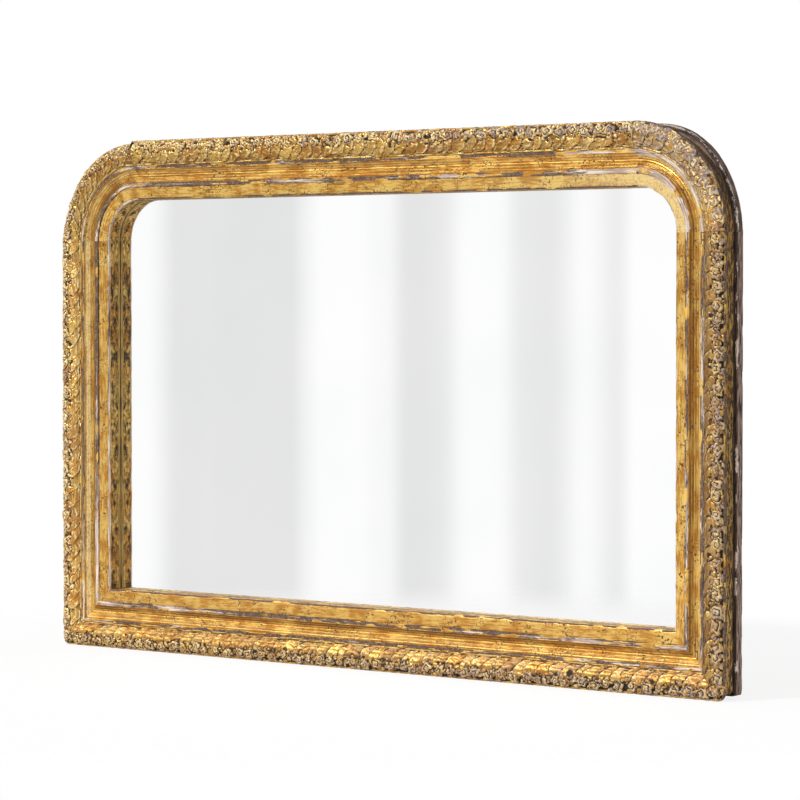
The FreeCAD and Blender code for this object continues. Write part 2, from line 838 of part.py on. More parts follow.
def hanger_ring(label, x):
    """A wire ring: a straight bar in the eye, rounded corners, two legs and a half circle."""
    y = WALL_Y + EYE_RISE
    half = named("ring_half_width")
    corner = named("ring_corner")
    leg = named("ring_leg")
    bar_length = (half - corner) * 2
    downward = turn_about(0, 1, 0, HALF_TURN).multiply(FORWARD)
    pieces = [
        cylinder(f"{label}_bar", WIRE_RADIUS, bar_length, x - half + corner, y, EYE_HEIGHT, SIDEWAYS),
        elbow(f"{label}_bow", half, WIRE_RADIUS, HALF_TURN, x, y, EYE_HEIGHT - leg, downward),
    ]
    for side_name, way in SIDE_SIGNS.items():
        start = 0 if way > 0 else QUARTER_TURN
        turn = turn_about(0, 1, 0, -start).multiply(FORWARD)
        corner_x = x + (half - corner) * way
        spot = (corner_x, y, EYE_HEIGHT - corner)
        pieces.append(elbow(f"{label}_corner_{side_name}", corner, WIRE_RADIUS, QUARTER_TURN, *spot, turn))
        spot = (x + half * way, y, EYE_HEIGHT - leg)
        pieces.append(cylinder(f"{label}_leg_{side_name}", WIRE_RADIUS, leg - corner, *spot))
    ring = fuse(label, pieces)
    ring.Label = label
    return ring


strap_screws = []
strap_screw = (named("strap_screw_diameter"), named("strap_screw_head"))
strap_shank = named("strap_screw_length") + named("strap_thickness") - named("screw_clearance")
for side_name, way in SIDE_SIGNS.items():
    hanger_x = (HALF_WIDTH - named("hanger_inset")) * way
    nodes.append(hanger_strap(f"hanger_strap_{side_name}", hanger_x))
    nodes.append(hanger_ring(f"hanger_ring_{side_name}", hanger_x))
    for hole in ("strap_screw_top", "strap_screw_low"):
        spot = (hanger_x, WALL_Y + named("strap_thickness"), EYE_HEIGHT - named(hole))
        strap_screws.append(flat_screw(f"{hole}_{side_name}", *strap_screw, strap_shank, *spot))
nodes.append(group("hanger_screws", strap_screws))


# Pads between the frame and the wall, and under the back frame

wall_pads = []
base_pads = []
for side_name, way in SIDE_SIGNS.items():
    pad_x = (HALF_WIDTH - named("wall_pad_inset")) * way
    pad_z = named("wall_pad_height")
    pad_radius = named("wall_pad_diameter") / 2
    size = (pad_radius, named("wall_pad_thickness"))
    wall_pads.append(cylinder(f"wall_pad_{side_name}", *size, pad_x, WALL_Y, pad_z, BACKWARD))
    foot_length = named("base_pad_length")
    foot_x = (HALF_WIDTH - named("base_pad_inset")) * way - foot_length / 2
    foot_y = WALL_Y - named("base_pad_back") - named("base_pad_depth")
    size = (foot_length, named("base_pad_depth"), BACK_INSET)
    base_pads.append(box(f"base_pad_{side_name}", *size, foot_x, foot_y, 0))
nodes.append(group("wall_pads", wall_pads))
nodes.append(group("base_pads", base_pads))

# Checks and export

document.recompute()
for item in document.Objects:
    if {"Invalid", "Error"} & set(item.State):
        raise RuntimeError(f"{item.Label} failed: {item.State}")
for node in nodes:
    if node.Shape.isNull() or not node.Shape.isValid():
        raise RuntimeError(f"{node.Label} has no valid shape")
    print(f"{node.Label}: {len(node.Shape.Solids)} solids, {node.Shape.Volume / 1000:.2f} cm3")
os.makedirs("parts", exist_ok=True)
for node in nodes:
    node.Shape.exportStep(f"parts/{node.Label}.step")
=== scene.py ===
import math
from collections import namedtuple

import bmesh
import bpy
import numpy as np
from mathutils import Euler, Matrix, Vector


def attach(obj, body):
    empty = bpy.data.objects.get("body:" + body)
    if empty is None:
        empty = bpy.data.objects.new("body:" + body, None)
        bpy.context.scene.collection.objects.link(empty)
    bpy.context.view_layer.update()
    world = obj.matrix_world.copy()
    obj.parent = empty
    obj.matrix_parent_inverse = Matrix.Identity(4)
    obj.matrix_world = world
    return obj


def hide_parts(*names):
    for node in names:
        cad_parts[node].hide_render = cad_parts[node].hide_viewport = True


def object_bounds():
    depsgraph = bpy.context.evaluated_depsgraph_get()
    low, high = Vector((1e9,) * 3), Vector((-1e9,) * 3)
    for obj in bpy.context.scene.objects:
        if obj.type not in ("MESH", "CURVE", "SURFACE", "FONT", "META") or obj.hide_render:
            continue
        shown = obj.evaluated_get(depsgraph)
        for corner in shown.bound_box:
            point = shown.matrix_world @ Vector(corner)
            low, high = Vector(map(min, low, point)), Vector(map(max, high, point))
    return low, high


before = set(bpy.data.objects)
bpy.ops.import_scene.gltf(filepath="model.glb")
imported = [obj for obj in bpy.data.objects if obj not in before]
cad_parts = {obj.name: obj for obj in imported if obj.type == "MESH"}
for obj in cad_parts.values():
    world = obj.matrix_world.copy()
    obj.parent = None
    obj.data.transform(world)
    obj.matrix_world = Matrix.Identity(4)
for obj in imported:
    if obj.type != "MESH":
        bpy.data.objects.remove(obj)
cad_low, cad_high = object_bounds()

# Every moulding has six runs
RUN_NAMES = ("rail_bottom", "rail_top", "stile_left", "stile_right", "corner_left", "corner_right")


def by_run(usual, **others):
    """A value for each run: the usual one, or another that is given by the run's name."""
    return {name: others.get(name, usual) for name in RUN_NAMES}


# Sizes, in metres, and a share of one that is next to nothing
MM = 0.001
HALF_WIDTH = cad_high[0]
HEIGHT = cad_high[2]
WALL_PLANE = 22.75 * MM
CORNER_RADIUS = 148 * MM
MOULDING_WIDTH = 87 * MM
HALF_TOP = HALF_WIDTH - CORNER_RADIUS
STILE_LENGTH = HEIGHT - CORNER_RADIUS
CORNER_LENGTH = CORNER_RADIUS * math.pi / 2
SEAM_REACH = 0.001 * MM
END_FADE = 2 * MM
TINY_SHARE = 1e-6

# Section of the back boards, from the wall forward and from the outer edge in
BACK_SKIN = 0.15 * MM
BACK_THICKNESS = 15 * MM
BACK_INSET = 4 * MM
BACK_EASE = 0.8 * MM
REBATE_RISE = 10.5 * MM
REBATE_INSET = 79 * MM
LEDGE_INSET = 10 * MM

# Section of the moulded core
CORE_INSET = 6.5 * MM
QUIRK = 3 * MM
BED_RISE = 41 * MM
SLIP_WIDTH = 37 * MM
OUTER_FILLET_RISE = 42.5 * MM
OUTER_FILLET_EDGE = 41.5 * MM
COVE_SAG = 6 * MM
INNER_FILLET_RISE = 39.5 * MM
INNER_FILLET_START = 62 * MM
BAND_START = 68.5 * MM
BAND_RISE = 37.5 * MM
SIGHT_RISE = 34.5 * MM
SIGHT_INSET = 85 * MM
LIP_RISE = 33.5 * MM
REED_COUNT = 6
REED_DEPTH = 0.75 * MM

# Section of the carved slip, and how finely its edge, crown and slope are cut
SLIP_EDGE_RISE = 46 * MM
CROWN_RISE = 52 * MM
CROWN_INSET = 13 * MM
CROWN_SAG = 1.6 * MM
SLOPE_SAG = 1.2 * MM
SLIP_INNER_RISE = 43.5 * MM
EDGE_CUTS = 6
CROWN_CUTS = 18
SLOPE_CUTS = 30

# Spacing of the rows along each moulding, and the angle from which its edges are sharp
SLIP_ROW = 0.75 * MM
CORE_ROW = 2.5 * MM
BACK_ROW = 5 * MM
CORE_CREASE = math.radians(38)
BACK_CREASE = math.radians(32)

# Rounded corners at the foot, the left corner set in from the top rail, and the fuller right corner board
SLIP_CORNER = 12 * MM
BACK_CORNER = 6 * MM
LEFT_SET_IN = 4.2 * MM
LEFT_FADE = 25 * MM
RIGHT_FULLER = 6.4 * MM
RIGHT_PROUD = 1.2 * MM
CORNER_FADE = 90 * MM

# Carving: roses along the crown
GROUND_DEPTH = 3 * MM
ROSE_LINE = 11.5 * MM
ROSE_PITCH = {"rail": 22 * MM, "stile": 21 * MM, "corner": 17 * MM}
ROSE_RADII = {"rail": (7 * MM, 11 * MM), "stile": (8 * MM, 10.5 * MM), "corner": (7.5 * MM, 10.5 * MM)}
ROSE_STRAY = {"rail": 2.2 * MM, "stile": 1.5 * MM, "corner": 4.5 * MM}
ROSE_SWAY = (0.6, 1)
ROSE_STRETCH = (0.8, 1.1)
ROSE_HEIGHT = 4.4 * MM
ROSE_POWER = 3
ROSE_PETALS = (4, 7)
PETAL_LOBE = 0.16
SWIRL_TURNS = (1.3, 2.1)
SWIRL_WIDTH = 0.16
SWIRL_DEPTH = 1.6 * MM

# Carving: small buds between the roses, each one cupped petal
BUD_PITCH = 2.2 * MM
BUD_RADII = (2.6 * MM, 5.6 * MM)
BUD_LINE = {"rail": (1 * MM, 23 * MM), "stile": (1 * MM, 24 * MM), "corner": (1 * MM, 24 * MM)}
BUD_HEIGHT = 3.1 * MM
PETAL_CURL = 0.9 * MM
PETAL_POWER = 4

# Carving: overlapping scalloped leaves on the slope, and a bead at its foot
LEAF_PITCH = 20 * MM
LEAF_TAIL = 34 * MM
LEAF_LENGTH = (20 * MM, 27 * MM)
LEAF_SLANT = (8 * MM, 20 * MM)
LEAF_SCALLOP = 7 * MM
LEAF_HEIGHT = 4.2 * MM
LEAF_FALL = 0.75
LEAF_RIM = 3 * MM
LEAF_SWELL = 0.45
STRIA_COUNT = 3.5
STRIA_DEPTH = 0.2 * MM
BEAD_WIDTH = 2.8 * MM
BEAD_HEIGHT = 3 * MM
BEAD_POWER = 4
BEAD_GRAIN = (10 * MM, 20 * MM)
BEAD_PATCHES = (-0.6, 0.4)
BEAD_LEAST = 0.35

# Stray of the forms, their reach in radii, and their share of full height, bareness and brown by chance
PLACE_STRAY = 0.2
FORM_REACH = 2
ROSE_CHANCES = ((0.85, 1.1), (0.8, 1.3), (0, 0.4))
BUD_CHANCES = ((0.6, 1.1), (0, 1.3), (0, 0.7))
LEAF_CHANCES = ((0.85, 1.1), (0, 0.3), (0, 0.5))

# Winding ridges, chisel marks, drift of the forms and cracks between them
RIDGE_HEIGHT = by_run(0.9 * MM, rail_top=1.3 * MM, stile_left=0.5 * MM, rail_bottom=0.3 * MM)
RIDGE_WIDTH = 0.4
RIDGE_GRAIN = (8 * MM, 6 * MM)
RIDGE_LEAN = 0.5
RIDGE_BEND = 4 * MM
BEND_GRAIN = (9 * MM, 9 * MM)
RIDGE_SLOPE = (0, 0.2)
RIDGE_LEAST = 0.35
CHISEL_DEPTH = 0.45 * MM
CHISEL_GRAIN = (3 * MM, 3 * MM)
FINE_CHISEL_GRAIN = (1.4 * MM, 1.4 * MM)
FINE_CHISEL = 0.6
SMOOTH_SLOPE = (0, 0.5)
SLOPE_SMOOTHING = 0.85
DRIFT = 2 * MM
DRIFT_GRAIN = (11 * MM, 9 * MM)
CRACK_WIDTH = 0.85 * MM
CRACK_DEPTH = 0.8 * MM

# Where the carving starts and ends round the slip's section, from the top of its outer edge and from its foot
CARVING_START = (-1 * MM, 2.5 * MM)
CARVING_END = (-0.5 * MM, 0.5 * MM)
SLOPE_START = 1.6 * ROSE_LINE

# Hollows, peaks and low places of the carving
CAVITY_REACH = 3
CAVITY = (0.15 * MM, 0.75 * MM)
PEAK = (0.1 * MM, 0.5 * MM)
PEAK_GRAIN = (6 * MM, 6 * MM)
PEAK_PATCHES = (-0.5, 0.3)
LOW_RELIEF = (1 * MM, 3.4 * MM)

# Finish of the carving: worn outer wall, joints and foot
WALL_WEAR_START = -1.5 * MM
WALL_WEAR_END = by_run(1.5 * MM, stile_right=5 * MM, corner_right=5 * MM)
WALL_GRAIN = (9 * MM, 4 * MM)
WALL_PATCHES = (-0.5, 0.3)
WALL_LEAST = 0.4
JOINT_FADE = 2 * MM
JOINT_WEAR = 0.5
FOOT_WEAR = by_run(0, stile_right=0.7)
FOOT_WEAR_FADE = (2 * MM, 5 * MM)

# Finish of the carving: bareness of the flowers, from a rail's left end to its right, and on other runs
RAIL_BARE = (0.4, 0.9)
LEFT_BARE = 0.65
RIGHT_BARE = 0.7
CORNER_FLAKED = 0.45

# Finish of the carving: dirt with painted shade in its cracks, hollows and low places, brown glazing and
# painted shade on the crowns and slopes of some runs, and burnishing with painted highlights
# Dirt with painted shade in the cracks and low places of the carving, and the share of it kept on the rubbed
# right corner
CRACK_SHADE_AND_DIRT = 0.9
LOW_SHADE_AND_DIRT = by_run(0.4, rail_bottom=0.6)
RUBBED_SHADE_AND_DIRT = 0.65
# Painted shade: dark on the right corner's outer wall, on the bottom rail's crown and on the slopes of the
# right stile and corner; brown in low places and on crowns and slopes turned from the light
CORNER_WALL_SHADE = 0.6
CROWN_SHADE_DARK = by_run(0, rail_bottom=0.14)
SLOPE_SHADE_DARK = by_run(0, stile_right=0.3, corner_right=0.3)
SLOPE_SHADE_START = (18 * MM, 24 * MM)
LOW_SHADE_BROWN = 0.6
CROWN_SHADE_BROWN = by_run(0, stile_right=0.3, corner_right=0.1, rail_bottom=0.35)
SLOPE_SHADE_BROWN = by_run(0, rail_top=0.2, stile_right=0.55, corner_right=0.3, corner_left=0.2, rail_bottom=0.15)
# Painted highlights on the carving's peaks, partly burnished gold, strongest on the left stile
PEAK_GLINT_AND_BURNISH = by_run(1, stile_left=2.2, rail_bottom=0.6, stile_right=0.5)

# Chips of the core's fillets and sight edge
FRONT_RISE = LIP_RISE - 3 * MM
OUTER_CHIPS = (SLIP_WIDTH - MM, OUTER_FILLET_EDGE)
INNER_CHIPS = (INNER_FILLET_START + 0.3 * MM, BAND_START + 0.6 * MM)
SIGHT_CHIPS = (SIGHT_INSET - 0.2 * MM, MOULDING_WIDTH + 5 * MM)
CHIP_SPREAD = by_run(0, corner_right=2.5 * MM)
CHIP_SOFTNESS = 0.5 * MM
RAGGED_GRAIN = (9 * MM, 1.5 * MM)
RAGGED = 0.7 * MM
WANDER_GRAIN = (30 * MM, 40 * MM)
WANDER = 0.5 * MM
CHIP_GRAIN = (20 * MM, 3 * MM)
CHIP_PATCHES = (-0.7, 0)
CHIP_LEAST = 0.25
CHIP_DEPTH = 0.25 * MM
GOUGE_DEPTH = 0.35 * MM
GOUGE_GRAIN = (7 * MM, 2 * MM)
GOUGES = (-0.2, 0.9)
CORE_JOINT_FADE = 0.8 * MM
CORE_JOINT_WEAR = 0.45

# White chalk in the core's chips: at each run's start, at its end and throughout
CHALK_FADE = 120 * MM
CHALK = {
    "rail_bottom": (1.6, 1.6, -0.3),
    "rail_top": (0.3, 1, -0.2),
    "stile_left": (1.2, 0, 0.2),
    "stile_right": (1.6, 1.2, -0.4),
    "corner_left": (0, 0, 0.5),
    "corner_right": (0, 0, 0.9),
}
FILLET_CHALK = (-0.15, 0.4)
FILLET_CHALK_FALL = 2
SIGHT_CHALK = {"rail": -0.7, "stile": 0.8, "corner": 0.8}

# The core's dark side paint, dirt and painted shade in the reeds, its darkened inner wall, painted shade in
# the cove and on the flat band, and painted highlights on the cove and band
SIDE_PAINT = (CORE_INSET + 2 * MM, CORE_INSET + 4 * MM)
SIDE_PAINT_GAIN = by_run(0, corner_right=2.4)
REED_GRAIN = (40 * MM, 6 * MM)
REED_PATCHES = (-0.9, 0.5)
# Dark of the reeds' hollows, dirt with painted shade, and brown painted shade in them
REED_DIRT_AND_SHADE = 0.5
REED_SHADE = 0.75
SIGHT_WALL = (MOULDING_WIDTH - 0.4 * MM, MOULDING_WIDTH)
BLOT_GRAIN = (14 * MM, 5 * MM)
FINE_BLOT_GRAIN = (6 * MM, 3 * MM)
BLOTS = (-0.2, 0.9)
# Darkening of the inner wall beside the glass, with blots of dirt on it
SIGHT_WALL_DARKENING = 0.6
BLOT_SOOT = 0.16
# Painted shade over the inner part of the cove, less on the top rail
COVE_SHADE = by_run(0.7, rail_top=0.2)
COVE_SHADE_BAND = (INNER_FILLET_START - 7 * MM, INNER_FILLET_START + MM, 4 * MM)
# Painted highlights along the cove's outer part, and on the flat band of the right corner and of the top
# rail's right end
COVE_GLEAM = by_run(0.15, stile_left=1.0, stile_right=0.5, corner_right=0.7, corner_left=0.4)
COVE_GLEAM_BAND = (OUTER_FILLET_EDGE + 2 * MM, OUTER_FILLET_EDGE + 6 * MM, 3 * MM)
BAND_GLEAM = by_run(0, corner_right=0.7)
BAND_END_GLEAM = by_run(0, rail_top=0.7)
# Brown painted shade on the flat band of the bottom rail and left stile
BAND_SHADE = by_run(0, rail_bottom=0.45, stile_left=0.2)
BAND_SOFTNESS = 2 * MM

# Dents, paint and shade of the back boards' outer edge, and the gilt lip in front of the glass
EDGE_DENTS = (BACK_INSET + 1.5 * MM, BACK_INSET + 3.5 * MM)
DENT_GRAIN = (20 * MM, 7 * MM)
FINE_DENT_GRAIN = (9 * MM, 3 * MM)
FINE_DENT = 0.5
DENTS = (-0.2, 0.6)
DENT_GAIN = by_run(0, corner_right=0.55)
FORE_DENTS = (2.5 * MM, 9 * MM)
REAR_DENTS = (0, 5 * MM)
DENT_WEAR = 1.3
DENT_DEPTH = 0.6 * MM
EDGE_PAINT = (BACK_INSET + 3 * MM, BACK_INSET + 7 * MM)
# The front of the outer edge, next to the core, is painted dark and carries painted shade
FRONT_PAINT_AND_SHADE = (BACK_THICKNESS - 2 * MM, BACK_THICKNESS - MM)
EDGE_SHADE = by_run(0, corner_right=0.6)
GILT_LIP = (MOULDING_WIDTH - 0.5 * MM, MOULDING_WIDTH - 0.1 * MM)

# Seeded chance, and how far apart it shifts the patterns of two runs
SEED = 41
RUN_SHIFT = 10
rng = np.random.default_rng(SEED)


# Sections, unevenness and easing
def section_line(corners):
    """Points round a closed section: each corner's rise and inset, and the sag and cuts that lead to it."""
    points = []
    for corner, last in zip(corners, corners[-1:] + corners[:-1]):
        start = np.array(last[:2])
        chord = np.array(corner[:2]) - start
        outward = np.array((chord[1], -chord[0])) / np.linalg.norm(chord)
        sag, cuts = corner[2:]
        share = (np.arange(cuts) + 1)[:, None] / cuts
        points.append(start + chord * share + outward * sag * 4 * share * (1 - share))
    return np.concatenate(points)


def outward_of(section):
    """Unit outward directions, as rise and inset, at the points of a closed section."""
    chord = np.roll(section, -1, 0) - np.roll(section, 1, 0)
    outward = np.stack((chord[:, 1], -chord[:, 0]), 1)
    return outward / np.linalg.norm(outward, axis=1)[:, None]


def girth_of(section, start):
    """Distance round a section from one of its points."""
    steps = np.linalg.norm(section - np.roll(section, 1, 0), axis=1)
    girth = np.cumsum(steps)
    return girth - girth[start]


def smooth(share):
    """A share from 0 to 1 with a level start and end."""
    return share * share * (3 - 2 * share)


def ease(value, low, high):
    """Smooth step from 0 at low to 1 at high."""
    return smooth(np.clip((value - low) / (high - low), 0, 1))


def band(inset, start, end, softness):
    """1 between two insets and 0 outside, with soft edges."""
    inner = ease(inset, start - softness, start + softness)
    return inner * (1 - ease(inset, end - softness, end + softness))


def mottle(along, across, grain_size):
    """Smooth seeded unevenness between -1 and 1 over a surface."""
    column = along / grain_size[0]
    row = across / grain_size[1]
    column = column - column.min()
    row = row - row.min()
    grid = rng.uniform(-1, 1, (int(column.max()) + 3, int(row.max()) + 3))
    left = column.astype(int)
    low = row.astype(int)
    rightward = smooth(column - left)
    upward = smooth(row - low)
    near = grid[left, low] * (1 - rightward) + grid[left + 1, low] * rightward
    far = grid[left, low + 1] * (1 - rightward) + grid[left + 1, low + 1] * rightward
    return near * (1 - upward) + far * upward


def patchy(along, across, grain_size, edge, least=0):
    """Seeded patches of 1 over a surface, with the least value between them."""
    return least + (1 - least) * ease(mottle(along, across, grain_size), *edge)


def softened(field, columns, reach):
    """A field of the sheet averaged over a square of its neighbours."""
    grid = field.reshape(-1, columns)
    for axis in (0, 1):
        grid = sum(np.roll(grid, step, axis) for step in range(-reach, reach + 1)) / (2 * reach + 1)
    return grid.ravel()


def reed_depth(inset):
    """Depth of the reeds cut in the cove, by inset."""
    share = (inset - OUTER_FILLET_EDGE) / (INNER_FILLET_START - OUTER_FILLET_EDGE)
    inside = (share > 0) & (share < 1)
    return np.where(inside, -REED_DEPTH * (0.5 - 0.5 * np.cos(2 * math.pi * REED_COUNT * share)), 0)


BACK_SECTION = section_line([
    (BACK_SKIN, BACK_INSET + BACK_EASE, 0, 14),
    (BACK_SKIN + BACK_EASE, BACK_INSET, 0, 2),
    (BACK_THICKNESS - BACK_EASE, BACK_INSET, 0, 10),
    (BACK_THICKNESS, BACK_INSET + BACK_EASE, 0, 2),
    (BACK_THICKNESS, LEDGE_INSET, 0, 4),
    (BACK_THICKNESS, MOULDING_WIDTH, 0, 1),
    (REBATE_RISE, MOULDING_WIDTH, 0, 3),
    (REBATE_RISE, REBATE_INSET, 0, 2),
    (BACK_SKIN, REBATE_INSET, 0, 4),
])
CORE_SECTION = section_line([
    (BACK_THICKNESS, CORE_INSET + QUIRK, 0, 1),
    (BACK_THICKNESS + QUIRK, CORE_INSET, 0, 3),
    (BED_RISE, CORE_INSET, 0, 14),
    (BED_RISE, SLIP_WIDTH, 0, 1),
    (OUTER_FILLET_RISE, SLIP_WIDTH, 0, 2),
    (OUTER_FILLET_RISE, OUTER_FILLET_EDGE, 0, 6),
    (INNER_FILLET_RISE, INNER_FILLET_START, -COVE_SAG, 54),
    (INNER_FILLET_RISE, BAND_START, 0, 8),
    (BAND_RISE, BAND_START, 0, 3),
    (SIGHT_RISE, SIGHT_INSET, 0, 14),
    (LIP_RISE, MOULDING_WIDTH, 0, 3),
    (BACK_THICKNESS, MOULDING_WIDTH, 0, 12),
])
CORE_SECTION += outward_of(CORE_SECTION) * reed_depth(CORE_SECTION[:, 1])[:, None]
SLIP_SECTION = section_line([
    (BED_RISE, 0, 0, 1),
    (SLIP_EDGE_RISE, 0, 0, EDGE_CUTS),
    (CROWN_RISE, CROWN_INSET, CROWN_SAG, CROWN_CUTS),
    (SLIP_INNER_RISE, SLIP_WIDTH, SLOPE_SAG, SLOPE_CUTS),
    (BED_RISE, SLIP_WIDTH, 0, 2),
])
SLIP_GIRTH = girth_of(SLIP_SECTION, EDGE_CUTS)
SLOPE_FOOT = SLIP_GIRTH[EDGE_CUTS + CROWN_CUTS + SLOPE_CUTS]
SLIP_WALL_FOOT = SLIP_GIRTH[0] + MM


# Where the six runs of each moulding lie: a run's own distance and inset give X and Z
def lay_rail_bottom(run, inset):
    return run - HALF_WIDTH, inset


def lay_rail_top(run, inset):
    return run - HALF_TOP, HEIGHT - inset


def lay_stile(side):
    return lambda run, inset: (side * (HALF_WIDTH - inset), run)


def lay_corner(side):
    def lay(run, inset):
        turn = run / CORNER_RADIUS
        radius = CORNER_RADIUS - inset
        return side * (HALF_TOP + radius * np.cos(turn)), STILE_LENGTH + radius * np.sin(turn)
    return lay


# How far along its run a point lies, when the run's ends are mitred or square
def mitre_both(run, inset):
    return HALF_WIDTH + (run - HALF_WIDTH) * (HALF_WIDTH - inset) / HALF_WIDTH


def mitre_foot(run, inset):
    return inset + run * (STILE_LENGTH - inset) / STILE_LENGTH


def square_ends(run, inset):
    return run


RUNS = {
    "rail_bottom": (2 * HALF_WIDTH, mitre_both, lay_rail_bottom),
    "rail_top": (2 * HALF_TOP, square_ends, lay_rail_top),
    "stile_left": (STILE_LENGTH, mitre_foot, lay_stile(-1)),
    "stile_right": (STILE_LENGTH, mitre_foot, lay_stile(1)),
    "corner_left": (CORNER_LENGTH, square_ends, lay_corner(-1)),
    "corner_right": (CORNER_LENGTH, square_ends, lay_corner(1)),
}


def rub_corner(across, up, edge, radius):
    """Rounds the outer corner at the foot, where a piece's edge stands in from the frame's."""
    aside = np.clip(1 - (HALF_WIDTH - edge - np.abs(across)) / radius, 0, None)
    below = np.clip(1 - (up - edge) / radius, 0, None)
    length = np.hypot(aside, below)
    pull = np.where(length > 0, np.maximum(aside, below) / np.maximum(length, TINY_SHARE), 1) - 1
    return across + np.sign(across) * aside * pull * radius, up - below * pull * radius


def set_in_slip(suffix, along, inset):
    """How far the carved slip stands in from its drawn line."""
    if suffix == "corner_left":
        return LEFT_SET_IN * ease(along, 0, LEFT_FADE) * (1 - ease(inset, 0, SLIP_WIDTH))
    return np.zeros(len(along))


def set_in_back(suffix, along, inset):
    """How far the back boards' outer edge stands in from its drawn line."""
    edge = 1 - ease(inset, LEDGE_INSET, 2 * LEDGE_INSET)
    turn = along / CORNER_RADIUS
    if suffix == "corner_left":
        return LEFT_SET_IN * ease(along, 0, LEFT_FADE) * edge
    if suffix == "corner_right":
        return -(RIGHT_FULLER * np.sin(turn) ** 2 * np.sin(2 * turn) + RIGHT_PROUD) * edge
    if suffix == "stile_right":
        return -RIGHT_PROUD * edge
    return np.zeros(len(along))


def set_in_core(suffix, along, inset):
    """The core keeps its drawn line."""
    return np.zeros(len(along))


# Carving of the slip
def places_along(length, pitch, stray):
    """Places along a run, evenly spaced but for a stray by chance."""
    count = max(2, round(length / pitch))
    step = length / count
    return (np.arange(count) + 0.5) * step + rng.uniform(-stray, stray, count)


def rounded(reach, power):
    """Height of a rounded form, from 1 at its middle to 0 at its rim."""
    return np.sqrt(np.clip(1 - reach ** power, 0, 1))


def petal_form(along, across, radius, turn):
    """Height of one cupped petal whose rim lifts outwards."""
    reach = np.hypot(along, across) / radius
    out = (along * math.cos(turn) + across * math.sin(turn)) / radius
    return rounded(reach, PETAL_POWER) * (BUD_HEIGHT + PETAL_CURL * out)


def rose_form(along, across, radius, petals, phase, turns):
    """Height of a rose over its ground, and the spiral cleft between its petals."""
    turn = np.arctan2(across, along)
    reach = np.hypot(along, across) / (radius * (1 + PETAL_LOBE * np.cos(petals * turn + phase)))
    dome = rounded(reach, ROSE_POWER)
    spiral = (turns * reach - math.copysign(1, turns) * turn / (2 * math.pi) + phase) % 1
    cleft = np.exp(-((spiral - 0.5) / SWIRL_WIDTH) ** 2) * (dome > 0)
    return dome * ROSE_HEIGHT - cleft * SWIRL_DEPTH * dome, cleft


def leaf_form(along, depth, reach, slant, hand):
    """Height of a scalloped leaf that overlaps the next one, highest at its rim and falling behind it."""
    share = np.clip(depth / reach, 0, 1)
    bow = (2 * share - 1) ** 2
    behind = slant * share - LEAF_SCALLOP * bow - hand * along
    rim = np.sqrt(np.clip(behind / LEAF_RIM, 0, 1))
    fall = 1 - LEAF_FALL * np.clip(behind / LEAF_TAIL, 0, 1)
    swell = 1 - LEAF_SWELL * bow
    stria = np.cos(2 * math.pi * STRIA_COUNT * share)
    body = rim * (LEAF_HEIGHT * fall * swell + STRIA_DEPTH * stria)
    return np.where((depth > 0) & (depth < reach) & (behind < LEAF_TAIL), np.clip(body, 0, None), 0)


